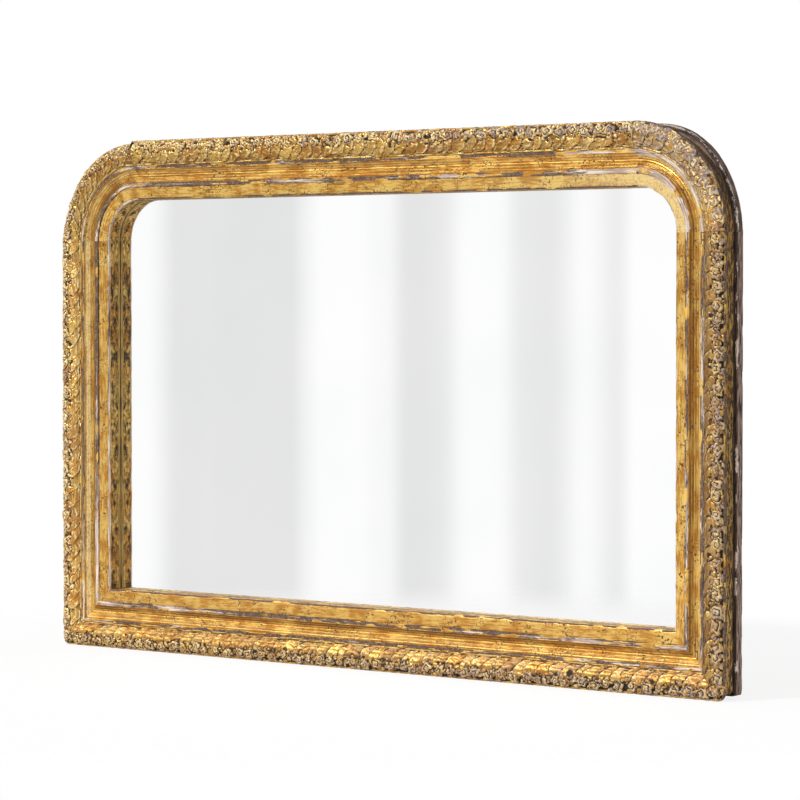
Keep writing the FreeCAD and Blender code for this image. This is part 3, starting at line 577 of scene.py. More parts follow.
class Carving:
    """The carved forms of one run, each laid over those before it where it stands higher."""

    def __init__(self, suffix, along, girth, inset, length):
        self.kind = suffix.split("_")[0]
        self.length = length
        self.along = along
        self.girth = girth
        self.squeeze = np.ones(len(along))
        if self.kind == "corner":
            self.squeeze = (CORNER_RADIUS - inset) / CORNER_RADIUS
        self.relief = np.zeros(len(along))
        self.under = np.zeros(len(along))
        self.petal = np.zeros(len(along))
        self.cleft = np.zeros(len(along))
        self.brown = np.zeros(len(along))

    def around(self, place, reach):
        """Points within reach of a place, and their distance along from it."""
        near = np.flatnonzero(np.abs(self.along - place) < reach)
        return near, (self.along[near] - place) * self.squeeze[near]

    def raise_form(self, near, height, petal, cleft, brown):
        """Lays one form over the others, with its bareness, its cleft and its brown glazing."""
        top = height > self.relief[near]
        self.brown[near] = np.where(top, brown, self.brown[near])
        self.under[near] = np.maximum(self.under[near], np.minimum(self.relief[near], height))
        self.petal[near] = np.where(top, petal, self.petal[near])
        self.cleft[near] = np.where(top, cleft, self.cleft[near])
        self.relief[near] = np.maximum(self.relief[near], height)

    def raise_by_chance(self, near, height, cleft, chances):
        """Lays one form with its height, bareness and brown glazing drawn from their ranges."""
        share, petal, brown = (rng.uniform(*limits) for limits in chances)
        self.raise_form(near, height * share, petal, cleft, brown)

    def carve_leaves(self):
        """Overlapping leaves along the slope, all leaning one way."""
        hand = rng.choice((-1, 1))
        places = places_along(self.length + 2 * LEAF_TAIL, LEAF_PITCH, LEAF_PITCH * PLACE_STRAY)
        for place in places - LEAF_TAIL:
            reach = rng.uniform(*LEAF_LENGTH)
            slant = rng.uniform(*LEAF_SLANT)
            near, aside = self.around(place, LEAF_TAIL + LEAF_PITCH)
            leaf = leaf_form(aside, SLOPE_FOOT - self.girth[near] - BEAD_WIDTH, reach, slant, hand)
            self.raise_by_chance(near, leaf, 0, LEAF_CHANCES)

    def carve_buds(self):
        """Small buds strewn over the crown and the slope."""
        for place in places_along(self.length, BUD_PITCH, BUD_PITCH):
            radius = rng.uniform(*BUD_RADII)
            line = rng.uniform(*BUD_LINE[self.kind])
            turn = rng.uniform(0, 2 * math.pi)
            near, aside = self.around(place, radius * FORM_REACH)
            bud = petal_form(aside, self.girth[near] - line, radius, turn)
            self.raise_by_chance(near, bud, 0, BUD_CHANCES)

    def carve_roses(self):
        """Roses along the crown, by turns to either side of their line."""
        pitch = ROSE_PITCH[self.kind]
        for count, place in enumerate(places_along(self.length, pitch, pitch * PLACE_STRAY)):
            radius = rng.uniform(*ROSE_RADII[self.kind])
            line = ROSE_LINE + ROSE_STRAY[self.kind] * rng.uniform(*ROSE_SWAY) * (-1) ** count
            petals = rng.integers(*ROSE_PETALS)
            phase = rng.uniform(0, 2 * math.pi)
            near, aside = self.around(place, radius * FORM_REACH)
            aside = aside * rng.uniform(*ROSE_STRETCH)
            turns = rng.uniform(*SWIRL_TURNS) * rng.choice((-1, 1))
            rose, cleft = rose_form(aside, self.girth[near] - line, radius, petals, phase, turns)
            self.raise_by_chance(near, rose, cleft, ROSE_CHANCES)


def winding_ridges(along, girth, slope):
    """Winding ridges over the carving, lower on its crown."""
    bend = RIDGE_BEND * mottle(along, girth, BEND_GRAIN)
    swirl = mottle(along + girth * RIDGE_LEAN + bend, girth - bend, RIDGE_GRAIN)
    ridge = np.clip(1 - np.abs(swirl) / RIDGE_WIDTH, 0, 1)
    return ridge * (RIDGE_LEAST + (1 - RIDGE_LEAST) * ease(slope, *RIDGE_SLOPE))


def flower_bareness(suffix, along, length):
    """How bare of gold the flowers are along a run, and how far the right corner has flaked."""
    if suffix == "corner_right":
        fade = ease(along, 0, CORNER_FADE)
        return RIGHT_BARE + (1 - RIGHT_BARE) * fade, CORNER_FLAKED * fade
    if "rail" in suffix:
        return RAIL_BARE[0] + (RAIL_BARE[1] - RAIL_BARE[0]) * along / length, 0
    return LEFT_BARE if "left" in suffix else RIGHT_BARE, 0


def slip_dirt_and_shade(suffix, carving, crack, deep, low, show, slope, wall):
    """Dirt with painted shade in the cracks, hollows and low places of the carving, and painted shade on the
    right corner's outer wall and on the crowns and slopes of some runs.
    """
    # dirt with painted shade in the swirl clefts and low places, then in the cracks and hollows
    settled_and_shaded = np.maximum(carving.cleft, low * LOW_SHADE_AND_DIRT[suffix])
    grime_and_shade = np.maximum(np.maximum(crack * CRACK_SHADE_AND_DIRT, deep), settled_and_shaded) * show
    # painted shade on the right corner's outer wall
    if suffix == "corner_right":
        grime_and_shade = np.maximum(grime_and_shade * RUBBED_SHADE_AND_DIRT, wall * CORNER_WALL_SHADE)
    # painted shade on the bottom rail's crown and on the slopes of the right stile and corner
    grime_and_shade = grime_and_shade + CROWN_SHADE_DARK[suffix] * (1 - slope) * show
    grime_and_shade = grime_and_shade + SLOPE_SHADE_DARK[suffix] * ease(carving.girth, *SLOPE_SHADE_START) * show
    return np.clip(grime_and_shade, 0, 1)


def dress_slip(suffix, along, inset, rise, girth, ends, length):
    """Relief of the carving, its finish (worn, dirt and painted shade, petal) and its rubbing with painted
    light (chalk, painted highlights and burnishing, brown glazing and painted shade).
    """
    foot = SLOPE_FOOT - girth
    show = ease(girth, *CARVING_START) * ease(foot, *CARVING_END)
    slope = np.clip((girth - SLOPE_START) / (SLOPE_FOOT - BEAD_WIDTH - SLOPE_START), 0, 1)
    wall = 1 - ease(girth, WALL_WEAR_START, WALL_WEAR_END[suffix])
    wall = wall * patchy(along, girth, WALL_GRAIN, WALL_PATCHES, WALL_LEAST)
    chisel = mottle(along, girth, CHISEL_GRAIN) + mottle(along, girth, FINE_CHISEL_GRAIN) * FINE_CHISEL
    bead = BEAD_HEIGHT * rounded(2 * foot / BEAD_WIDTH - 1, BEAD_POWER)
    bead = bead * patchy(along, girth, BEAD_GRAIN, BEAD_PATCHES, BEAD_LEAST)
    off_bead = bead == 0
    peaks = patchy(along, girth, PEAK_GRAIN, PEAK_PATCHES)
    ridge = winding_ridges(along, girth, slope) * off_bead

    drift = DRIFT * show * off_bead
    drifted_along = along + drift * mottle(along, girth, DRIFT_GRAIN)
    drifted_girth = girth + drift * mottle(along, girth, DRIFT_GRAIN)
    carving = Carving(suffix, drifted_along, drifted_girth, inset, length)
    carving.carve_leaves()
    carving.carve_buds()
    carving.carve_roses()
    carving.raise_form(np.arange(len(along)), bead, 0, 0, 0)

    crack = 1 - ease(carving.relief - carving.under, 0, CRACK_WIDTH)
    relief = carving.relief + ridge * RIDGE_HEIGHT[suffix] * (1 - crack)
    roughness = 1 - SLOPE_SMOOTHING * ease(slope, *SMOOTH_SLOPE)
    lift = (relief - crack * CRACK_DEPTH - GROUND_DEPTH + chisel * CHISEL_DEPTH * roughness) * show
    lift += chisel * CHISEL_DEPTH * (1 - show) * (drifted_girth > SLIP_WALL_FOOT) * (foot > 0)
    lift = lift * ease(ends, 0, END_FADE)

    # Painted shade with dirt in the hollows, and painted highlights on the peaks
    cavity = softened(relief, len(SLIP_SECTION) + 1, CAVITY_REACH) - relief
    deep = ease(cavity, *CAVITY)
    peak = ease(-cavity, *PEAK) * peaks
    low = 1 - ease(relief, *LOW_RELIEF)
    bare, flaked = flower_bareness(suffix, along, length)
    grime_and_shade = slip_dirt_and_shade(suffix, carving, crack, deep, low, show, slope, wall)
    worn = np.clip(wall + np.exp(-ends / JOINT_FADE) * JOINT_WEAR, 0, 1)
    worn = np.maximum(worn, FOOT_WEAR[suffix] * (1 - ease(foot, *FOOT_WEAR_FADE)))
    # brown glazing of the forms, with brown painted shade in low places and on the crowns and slopes of some
    # runs
    glaze_and_shade = carving.brown * bare + low * LOW_SHADE_BROWN + CROWN_SHADE_BROWN[suffix]
    glaze_and_shade = glaze_and_shade + SLOPE_SHADE_BROWN[suffix] * np.sqrt(slope) * off_bead
    # pale painted highlights, partly burnished gold, on the carving's peaks
    glint_and_burnish = np.clip(peak * show * PEAK_GLINT_AND_BURNISH[suffix], 0, 1)
    finish = np.stack((worn, grime_and_shade, (carving.petal + flaked) * bare), 1)
    rub = np.stack((-wall, glint_and_burnish, np.clip(glaze_and_shade, 0, 1) * show), 1)
    return lift, finish, rub


# Wear of the core and the back boards
def core_chalk(suffix, along, seat, sight, length):
    """How white the core's chips are, and how near each point is to the run's end."""
    start = np.exp(-along / CHALK_FADE)
    end = np.exp((along - length) / CHALK_FADE)
    at_start, at_end, throughout = CHALK[suffix]
    middle = np.abs(seat - (INNER_FILLET_START + BAND_START) / 2) / (BAND_START - INNER_FILLET_START)
    fillet = np.clip(FILLET_CHALK[1] - FILLET_CHALK_FALL * middle, *FILLET_CHALK)
    chalk = at_start * start + at_end * end + throughout + fillet
    return chalk + sight * SIGHT_CHALK[suffix.split("_")[0]], end


def dress_core(suffix, along, inset, rise, girth, ends, length):
    """Chips of the core, its finish (worn, dirt and painted shade, dark side) and its rubbing with painted
    light (chalk, painted highlights, painted shade).
    """
    ragged = mottle(along, girth, RAGGED_GRAIN) * RAGGED + mottle(along, girth, WANDER_GRAIN) * WANDER
    seat = inset + ragged
    front = rise > FRONT_RISE
    spread = CHIP_SPREAD[suffix]
    outer = band(seat, OUTER_CHIPS[0], OUTER_CHIPS[1] + spread, CHIP_SOFTNESS)
    inner = band(seat, INNER_CHIPS[0] - spread / 2, INNER_CHIPS[1] + spread / 2, CHIP_SOFTNESS)
    sight = band(seat, *SIGHT_CHIPS, CHIP_SOFTNESS) * front
    worn = np.clip(outer + inner + sight, 0, 1) * front
    worn = worn * patchy(along, girth, CHIP_GRAIN, CHIP_PATCHES, CHIP_LEAST)
    worn = np.clip(worn + np.exp(-ends / CORE_JOINT_FADE) * CORE_JOINT_WEAR, 0, 1)
    chalk, end = core_chalk(suffix, along, seat, sight, length)

    side = 1 - ease(inset, *SIDE_PAINT)
    side = side * (1 + SIDE_PAINT_GAIN[suffix] * ease(along, 0, CORNER_FADE))
    reed = np.clip(-reed_depth(inset) / REED_DEPTH, 0, 1)
    reed = reed * patchy(along, girth, REED_GRAIN, REED_PATCHES)
    blots = mottle(along, girth, BLOT_GRAIN) + mottle(along, girth, FINE_BLOT_GRAIN)
    # the inner wall beside the glass darkened, with blots of dirt
    wall = ease(inset, *SIGHT_WALL) * (1 - front) * (SIGHT_WALL_DARKENING + BLOT_SOOT * ease(blots, *BLOTS))
    flat = band(inset, BAND_START, SIGHT_INSET, BAND_SOFTNESS)
    # painted highlights on the cove and the flat band
    gleam = band(inset, *COVE_GLEAM_BAND) * COVE_GLEAM[suffix]
    gleam = gleam + flat * (BAND_GLEAM[suffix] + BAND_END_GLEAM[suffix] * end)
    # painted shade in the cove, on the flat band and in the reeds' hollows
    shade = band(inset, *COVE_SHADE_BAND) * COVE_SHADE[suffix]
    shade = shade + flat * BAND_SHADE[suffix] + reed * REED_SHADE

    depth = CHIP_DEPTH + GOUGE_DEPTH * patchy(along, girth, GOUGE_GRAIN, GOUGES)
    lift = -worn * depth * front * ease(ends, 0, END_FADE)
    # dark of the reeds' hollows, dirt with painted shade, and the darkened inner wall
    finish = np.stack((worn, np.clip(reed * REED_DIRT_AND_SHADE + wall, 0, 1), side), 1)
    rub = np.stack((chalk, gleam * front, shade * front), 1)
    return lift, finish, rub


def dress_back(suffix, along, inset, rise, girth, ends, length):
    """Dents of the boards' outer edge, their finish (worn, gilt lip, paint) and the shade on their paint."""
    edge = 1 - ease(inset, *EDGE_DENTS)
    uneven = mottle(along, girth, DENT_GRAIN) + mottle(along, girth, FINE_DENT_GRAIN) * FINE_DENT
    dents = np.clip(ease(uneven, *DENTS) + DENT_GAIN[suffix], 0, 1)
    fore = 1 - ease(BACK_THICKNESS - rise, *FORE_DENTS)
    rear = 1 - ease(rise - BACK_SKIN, *REAR_DENTS)
    chip = edge * dents * np.maximum(fore, rear)
    lift = -chip * DENT_DEPTH * ease(ends, 0, END_FADE)
    painted = 1 - ease(inset, *EDGE_PAINT)
    front = ease(rise, *FRONT_PAINT_AND_SHADE)
    # painted shade along the front of the edge, and over the whole edge of the right corner
    shade = np.maximum(front, EDGE_SHADE[suffix]) * painted
    none = np.zeros(len(along))
    worn = np.clip(chip * DENT_WEAR, 0, 1)
    finish = np.stack((worn, ease(inset, *GILT_LIP), np.clip(painted + front, 0, 1)), 1)
    return lift, finish, np.stack((shade, none, none), 1)


# Shader nodes
def add(tree, kind, sockets=None, **settings):
    """A new node with its settings, its sockets set or linked."""
    node = tree.nodes.new(kind)
    for key, value in settings.items():
        setattr(node, key, value)
    for key, value in (sockets or {}).items():
        if isinstance(value, bpy.types.NodeSocket):
            tree.links.new(value, node.inputs[key])
        else:
            node.inputs[key].default_value = value
    return node


def grain(tree, vector, scale, detail=3, roughness=0.55):
    """Noise, about 0 to 1. A scale of three numbers holds along, across and outwards."""
    if isinstance(scale, tuple):
        vector = add(tree, "ShaderNodeMapping", {"Vector": vector, "Scale": scale}).outputs[0]
        scale = 1
    sockets = {"Vector": vector, "Scale": scale, "Detail": detail, "Roughness": roughness}
    return add(tree, "ShaderNodeTexNoise", sockets).outputs["Fac"]


def between(tree, value, low, high, start=0.0, end=1.0):
    """A value eased from one range to another."""
    sockets = {"Value": value, "From Min": low, "From Max": high, "To Min": start, "To Max": end}
    return add(tree, "ShaderNodeMapRange", sockets, interpolation_type="SMOOTHSTEP").outputs["Result"]


def maths(tree, operation, first, second):
    return add(tree, "ShaderNodeMath", {0: first, 1: second}, operation=operation).outputs[0]


def times(tree, first, second):
    return maths(tree, "MULTIPLY", first, second)


def plus(tree, first, second):
    return maths(tree, "ADD", first, second)


def minus(tree, first, second):
    return maths(tree, "SUBTRACT", first, second)


def larger(tree, first, second):
    return maths(tree, "MAXIMUM", first, second)


def blend(tree, share, first, second):
    """A colour between two colours."""
    return add(tree, "ShaderNodeMix", {0: share, 6: first, 7: second}, data_type="RGBA").outputs[2]


def blend_value(tree, share, first, second):
    """A value between two values."""
    return add(tree, "ShaderNodeMix", {0: share, 2: first, 3: second}, data_type="FLOAT").outputs[0]


def parts_of(tree, vector):
    """The three values of a vector."""
    return add(tree, "ShaderNodeSeparateXYZ", {0: vector}).outputs


def attribute(tree, name):
    """A vector that the mesh holds at its points."""
    return add(tree, "ShaderNodeAttribute", attribute_name=name, attribute_type="GEOMETRY").outputs["Vector"]


def object_space(tree):
    return add(tree, "ShaderNodeTexCoord").outputs["Object"]


def new_group(name, inputs, outputs):
    """An empty shader group with named sockets, and its input and output nodes."""
    group = bpy.data.node_groups.new(name, "ShaderNodeTree")
    for socket, kind in inputs:
        group.interface.new_socket(socket, in_out="INPUT", socket_type="NodeSocket" + kind)
    for socket, kind in outputs:
        group.interface.new_socket(socket, in_out="OUTPUT", socket_type="NodeSocket" + kind)
    return group, group.nodes.new("NodeGroupInput"), group.nodes.new("NodeGroupOutput")


def hand_out(group, leave, **values):
    """Links the values out of a group by socket name."""
    for key, value in values.items():
        group.links.new(value, leave.inputs[key])


def new_material(name):
    """A new material, its node tree and its shader."""
    material = bpy.data.materials.new(name)
    material.use_nodes = True
    tree = material.node_tree
    return material, tree, tree.nodes["Principled BSDF"]


def feed(tree, shader, height, strength, distance, **values):
    """Links the values into the shader by socket name, and a height as its bump."""
    for key, value in values.items():
        tree.links.new(value, shader.inputs[key.replace("_", " ")])
    bump = add(tree, "ShaderNodeBump", {"Strength": strength, "Distance": distance, "Height": height})
    tree.links.new(bump.outputs[0], shader.inputs["Normal"])


def paint(red, green, blue):
    """Linear colour of an sRGB shade given in 0 to 255."""
    def linear(level):
        level = level / 255
        return level / 12.92 if level <= 0.04045 else ((level + 0.055) / 1.055) ** 2.4
    return (linear(red), linear(green), linear(blue), 1)


# Colours of the gilding and what shows under it
GOLD_LIGHT = paint(255, 211, 116)
GOLD_DEEP = paint(206, 144, 58)
# Brown of the glazing and streaks, also laid on as brown painted shade
GOLD_BROWN = paint(128, 84, 28)
# Pale gold of burnishing, also used for painted highlights on the carving's peaks and on the core's cove and
# band
GOLD_PALE = paint(255, 232, 170)
BOLE = paint(82, 66, 58)
BOLE_LIGHT = paint(132, 104, 78)
GESSO = paint(234, 220, 206)
GESSO_STAINED = paint(178, 154, 138)
PETAL_GREY = paint(196, 174, 160)
PETAL_DARK = paint(132, 112, 102)
# Dark brown of dirt, also laid on as painted shade in cracks, hollows, reeds and on some crowns and slopes
DIRT_AND_SHADE_DARK = paint(44, 32, 22)
UMBER = paint(78, 50, 26)
SIDE_BROWN = paint(74, 51, 29)

# Noises of the gilding: how often they turn in a metre, their detail and their roughness
CLOUD = {"scale": 28, "detail": 4}
STREAK = {"scale": (22, 420, 420), "detail": 4, "roughness": 0.6}
FINE = {"scale": 420, "roughness": 0.6}
FLECK = {"scale": (60, 420, 420), "detail": 4, "roughness": 0.65}
SPOT = {"scale": 290, "roughness": 0.6}
SPOT_PATCH = {"scale": 40, "detail": 4}
LONG_CHALK = {"scale": (18, 300, 300), "detail": 5, "roughness": 0.65}
SHORT_CHALK = {"scale": (80, 480, 480), "detail": 4, "roughness": 0.65}
CHALK_CLOUD = {"scale": 7, "detail": 2}
GROUND = {"scale": 240, "detail": 4, "roughness": 0.65}
RUBBING = {"scale": 170, "detail": 4}
PETAL_CLOUD = {"scale": 300}
HIGHLIGHT_AND_BURNISH_CLOUD = {"scale": 230}
BLOT = {"scale": 160, "detail": 5, "roughness": 0.65}
SIDE_FLAKE = {"scale": (90, 300, 300), "detail": 4, "roughness": 0.6}

# Noise levels between which each effect of the gilding comes in, with its least and most strength
LIGHT_LEAF = (0.43, 0.56)
BROWN_STREAKS = (0.56, 0.7, 0, 0.6)
SPOT_EDGE = (0.54, 0.61)
SPOT_PATCHES = (0.43, 0.57)
WEAR_EDGE = (0.88, 1.08)
LIGHT_BOLE = (0.42, 0.62)
STAINS = (0.4, 0.56)
CHALK_EDGE = (0.53, 0.62)
RUBBED = (0.38, 0.52)
GREY_PETALS = (0.35, 0.65)
HIGHLIGHT_AND_BURNISH_EDGE = (0.35, 0.6, 0.4)
DIRT_AND_SHADE_EDGE = (0.85, 1.25)
KEPT_LEAF = (0.47, 0.56, 0, 0.75)

# Strengths of the gilding's effects, and its gloss, metal and bump
HALF = 0.5
GLAZE_AND_SHADE_STRENGTH = 0.85
LONG_CHALK_SHARE = 0.55
SHORT_CHALK_SHARE = 0.45
CHALK_SPREAD = 0.7
CHALK_STRENGTH = 0.18
BLOT_STRENGTH = 0.8
PETAL_BARENESS = 0.8
LEAF_SATIN = (0.24, 0.46)
GLAZED_SATIN = 0.44
BARE_ROUGHNESS = 0.78
SIDE_ROUGHNESS = 0.7
LEAF_METAL = 0.86
HIGHLIGHT_AND_BURNISH_METAL = 0.25
GLAZED_METAL = 0.7
RELIEF_SHARE = 0.4
GILT_BUMP = 0.4 * MM
CARVING_BUMP_STRENGTH = 0.3
MOULDING_BUMP_STRENGTH = 0.5
CARVING_SPECKS = 0.7
MOULDING_SPECKS = 1.0


# Gilding
def leaf_tone(group, run, streak, glaze_and_shade, speck):
    """Gold leaf with its brown glazing and brown painted shade, brown streaks and umber specks, and the
    specks alone.
    """
    mingled = plus(group, times(group, grain(group, run, **CLOUD), HALF),
                   times(group, grain(group, run, **FLECK), HALF))
    tone = blend(group, between(group, mingled, *LIGHT_LEAF), GOLD_DEEP, GOLD_LIGHT)
    # brown glazing, and brown painted shade on the shaded parts of the carving and core
    tone = blend(group, times(group, glaze_and_shade, GLAZE_AND_SHADE_STRENGTH), tone, GOLD_BROWN)
    tone = blend(group, between(group, streak, *BROWN_STREAKS), tone, GOLD_BROWN)
    spots = between(group, grain(group, run, **SPOT), *SPOT_EDGE)
    patches = between(group, grain(group, run, **SPOT_PATCH), *SPOT_PATCHES)
    specks = times(group, times(group, spots, patches), speck)
    return blend(group, specks, tone, UMBER), specks


def bared_ground(group, run, streak, chalk):
    """What shows where the leaf is worn through: dark bole, with pale gesso where it is chalky."""
    long = times(group, grain(group, run, **LONG_CHALK), LONG_CHALK_SHARE)
    short = times(group, grain(group, run, **SHORT_CHALK), SHORT_CHALK_SHARE)
    cloud = minus(group, grain(group, run, **CHALK_CLOUD), HALF)
    chalky = plus(group, plus(group, long, short), times(group, cloud, CHALK_SPREAD))
    chalky = plus(group, chalky, times(group, chalk, CHALK_STRENGTH))
    bole = blend(group, between(group, grain(group, run, **GROUND), *LIGHT_BOLE), BOLE, BOLE_LIGHT)
    gesso = blend(group, between(group, streak, *STAINS), GESSO, GESSO_STAINED)
    return blend(group, between(group, chalky, *CHALK_EDGE), bole, gesso)


def gilding_group():
    """Old leaf gilding: gold, its brown rubbing and brown painted shade, specks, pale burnishing and painted
    highlights, worn bole and gesso, and dark dirt and painted shade in the hollows.
    """
    group, entry, leave = new_group(
        "aged_gilding",
        [("Run", "Vector"), ("Worn", "Float"), ("Grime", "Float"), ("Petal", "Float"), ("Speck", "Float"),
         ("Chalk", "Float"), ("HighlightAndBurnish", "Float"), ("GlazeAndShade", "Float")],
        [("Color", "Color"), ("Roughness", "Float"), ("Metallic", "Float"), ("Height", "Float")],
    )
    given = entry.outputs
    run = given["Run"]
    streak = grain(group, run, **STREAK)
    fine = grain(group, run, **FINE)
    tone, specks = leaf_tone(group, run, streak, given["GlazeAndShade"], given["Speck"])
    rubbed = times(group, given["Petal"], between(group, grain(group, run, **RUBBING), *RUBBED))
    grey = between(group, grain(group, run, **PETAL_CLOUD), *GREY_PETALS)
    tone = blend(group, rubbed, tone, blend(group, grey, PETAL_DARK, PETAL_GREY))
    # pale gold of burnishing and painted highlights
    pale = times(group, given["HighlightAndBurnish"], between(group, grain(group, run, **HIGHLIGHT_AND_BURNISH_CLOUD), *HIGHLIGHT_AND_BURNISH_EDGE))
    tone = blend(group, pale, tone, GOLD_PALE)
    edge = plus(group, given["Worn"], times(group, fine, HALF))
    worn = between(group, plus(group, edge, times(group, streak, HALF)), *WEAR_EDGE)
    tone = blend(group, worn, tone, bared_ground(group, run, streak, given["Chalk"]))
    blot = times(group, grain(group, run, **BLOT), BLOT_STRENGTH)
    # dark dirt, and painted shade where the carving and core are shaded
    dirt_and_shade_mask = between(group, plus(group, given["Grime"], blot), *DIRT_AND_SHADE_EDGE)
    tone = blend(group, dirt_and_shade_mask, tone, DIRT_AND_SHADE_DARK)

    bare = larger(group, larger(group, worn, times(group, rubbed, PETAL_BARENESS)), specks)
    bare = larger(group, bare, dirt_and_shade_mask)
    satin = blend_value(group, given["GlazeAndShade"], blend_value(group, fine, *LEAF_SATIN), GLAZED_SATIN)
    shine = blend_value(group, pale, LEAF_METAL, HIGHLIGHT_AND_BURNISH_METAL)
    shine = blend_value(group, given["GlazeAndShade"], shine, GLAZED_METAL)
    height = minus(group, times(group, fine, HALF), times(group, worn, RELIEF_SHARE))
    height = plus(group, height, times(group, streak, RELIEF_SHARE))
    height = minus(group, height, times(group, specks, RELIEF_SHARE))
    hand_out(group, leave, Color=tone, Roughness=blend_value(group, bare, satin, BARE_ROUGHNESS),
             Metallic=blend_value(group, bare, shine, 0.0), Height=height)
    return group


AGED_GILDING = gilding_group()


def gilding_on(tree, speck, petal):
    """The gilding in a material, fed by the piece's own attributes."""
    finish = parts_of(tree, attribute(tree, "finish"))
    rub = parts_of(tree, attribute(tree, "rub"))
    sockets = {"Run": attribute(tree, "run"), "Worn": finish[0], "Grime": finish[1], "Speck": speck,
               "Chalk": rub[0], "HighlightAndBurnish": rub[1], "GlazeAndShade": rub[2]}
    if petal:
        sockets["Petal"] = finish[2]
    return add(tree, "ShaderNodeGroup", sockets, node_tree=AGED_GILDING).outputs


def gilt_carving():
    """Gilding of the carved slip, bared on its flowers."""
    material, tree, shader = new_material("gilt_carving")
    gilding = gilding_on(tree, CARVING_SPECKS, petal=True)
    feed(tree, shader, gilding["Height"], CARVING_BUMP_STRENGTH, GILT_BUMP, Base_Color=gilding["Color"],
         Roughness=gilding["Roughness"], Metallic=gilding["Metallic"])
    return material


def gilt_moulding():
    """Gilding of the moulded core, with the dark flaking paint of its side."""
    material, tree, shader = new_material("gilt_moulding")
    gilding = gilding_on(tree, MOULDING_SPECKS, petal=False)
    side = parts_of(tree, attribute(tree, "finish"))[2]
    kept = between(tree, grain(tree, attribute(tree, "run"), **SIDE_FLAKE), *KEPT_LEAF)
    dark = times(tree, side, minus(tree, 1.0, kept))
    feed(tree, shader, gilding["Height"], MOULDING_BUMP_STRENGTH, GILT_BUMP,
         Base_Color=blend(tree, dark, gilding["Color"], SIDE_BROWN),
         Roughness=blend_value(tree, dark, gilding["Roughness"], SIDE_ROUGHNESS),
         Metallic=blend_value(tree, dark, gilding["Metallic"], 0.0))
    return material


# Colours and noises of the back boards
PINE_LIGHT = paint(172, 132, 88)
PINE_DEEP = paint(136, 98, 62)
PINE_FIBRE = paint(70, 46, 26)
PINE_STAIN = paint(60, 44, 30)
EDGE_DARK = paint(60, 45, 35)
EDGE_WORN = paint(162, 134, 116)
EDGE_SHADED = paint(40, 28, 18)
# The gilt lip's two tones are kept light: painted light that offsets the shade in the rebate
LIP_DEEP = paint(140, 112, 60)
LIP_LIGHT = paint(200, 164, 92)
PINE_RINGS = {"scale": (3, 130, 130), "detail": 5, "roughness": 0.6}
PINE_FIBRES = {"scale": (30, 1500, 1500), "roughness": 0.6}
PINE_STAINS = {"scale": 14, "detail": 4}
PAINT_FLAKES = {"scale": (45, 420, 420), "detail": 4, "roughness": 0.65}
PAINT_SCALES = {"scale": 220, "detail": 4, "roughness": 0.65}
DEEP_RINGS = (0.38, 0.62)
DARK_FIBRES = (0.5, 0.75, 0, 0.45)
DARK_STAINS = (0.52, 0.75, 0, 0.5)
FLAKED_PAINT = (0.44, 0.54)
CHIPPED_PAINT = (0.87, 0.97)
PINE_ROUGHNESS = (0.3, 0.7, 0.62, 0.84)
SHADE_STRENGTH = 0.85
FLAKE_SHARE = 0.5
SCALE_SHARE = 0.7
CHIP_STRENGTH = 0.4
RING_HEIGHT = 0.6
FIBRE_HEIGHT = 0.5
PINE_BUMP_STRENGTH = 0.4
PINE_BUMP = 0.4 * MM


def back_pine():
    """Old softwood boards: grain along the run, stains, and dark paint with worn chips on the outer edge."""
    material, tree, shader = new_material("back_wood")
    run = attribute(tree, "run")
    worn, lip, painted = parts_of(tree, attribute(tree, "finish"))
    shaded = parts_of(tree, attribute(tree, "rub"))[0]
    rings = grain(tree, run, **PINE_RINGS)
    fibre = grain(tree, run, **PINE_FIBRES)
    flaking = grain(tree, run, **PAINT_FLAKES)
    colour = blend(tree, between(tree, rings, *DEEP_RINGS), PINE_LIGHT, PINE_DEEP)
    colour = blend(tree, between(tree, fibre, *DARK_FIBRES), colour, PINE_FIBRE)
    colour = blend(tree, between(tree, grain(tree, run, **PINE_STAINS), *DARK_STAINS), colour, PINE_STAIN)
    flaked = between(tree, flaking, *FLAKED_PAINT)
    coat = blend(tree, flaked, EDGE_DARK, EDGE_WORN)
    coat = blend(tree, times(tree, shaded, SHADE_STRENGTH), coat, EDGE_SHADED)
    colour = blend(tree, painted, colour, coat)
    colour = blend(tree, lip, colour, blend(tree, flaked, LIP_DEEP, LIP_LIGHT))
    scales = plus(tree, times(tree, flaking, FLAKE_SHARE),
                  times(tree, grain(tree, run, **PAINT_SCALES), SCALE_SHARE))
    chipped = between(tree, plus(tree, times(tree, worn, CHIP_STRENGTH), scales), *CHIPPED_PAINT)
    colour = blend(tree, chipped, colour, blend(tree, flaked, GESSO, PETAL_GREY))
    height = plus(tree, times(tree, rings, RING_HEIGHT), times(tree, fibre, FIBRE_HEIGHT))
    feed(tree, shader, height, PINE_BUMP_STRENGTH, PINE_BUMP, Base_Color=colour,
         Roughness=between(tree, fibre, *PINE_ROUGHNESS))
    return material


# Mirror plate
GLASS_CLEAR = paint(254, 254, 254)
GLASS_HAZED = paint(249, 250, 250)
HAZE = {"scale": 3}
SMEAR = {"scale": (9, 9, 2)}
WAVE = {"scale": 1.6, "detail": 2}
HAZED = (0.3, 0.7)
GLASS_ROUGHNESS = (0.35, 0.7, 0.008, 0.022)
GLASS_BUMP_STRENGTH = 0.02
GLASS_BUMP = 1 * MM


def silvered_glass():
    """Silvered plate glass with a faint haze, faint smears and a slight wave."""
    material, tree, shader = new_material("mirror_silver")
    place = object_space(tree)
    colour = blend(tree, between(tree, grain(tree, place, **HAZE), *HAZED), GLASS_CLEAR, GLASS_HAZED)
    rough = between(tree, grain(tree, place, **SMEAR), *GLASS_ROUGHNESS)
    shader.inputs["Metallic"].default_value = 1.0
    feed(tree, shader, grain(tree, place, **WAVE), GLASS_BUMP_STRENGTH, GLASS_BUMP, Base_Color=colour,
         Roughness=rough)
    return material


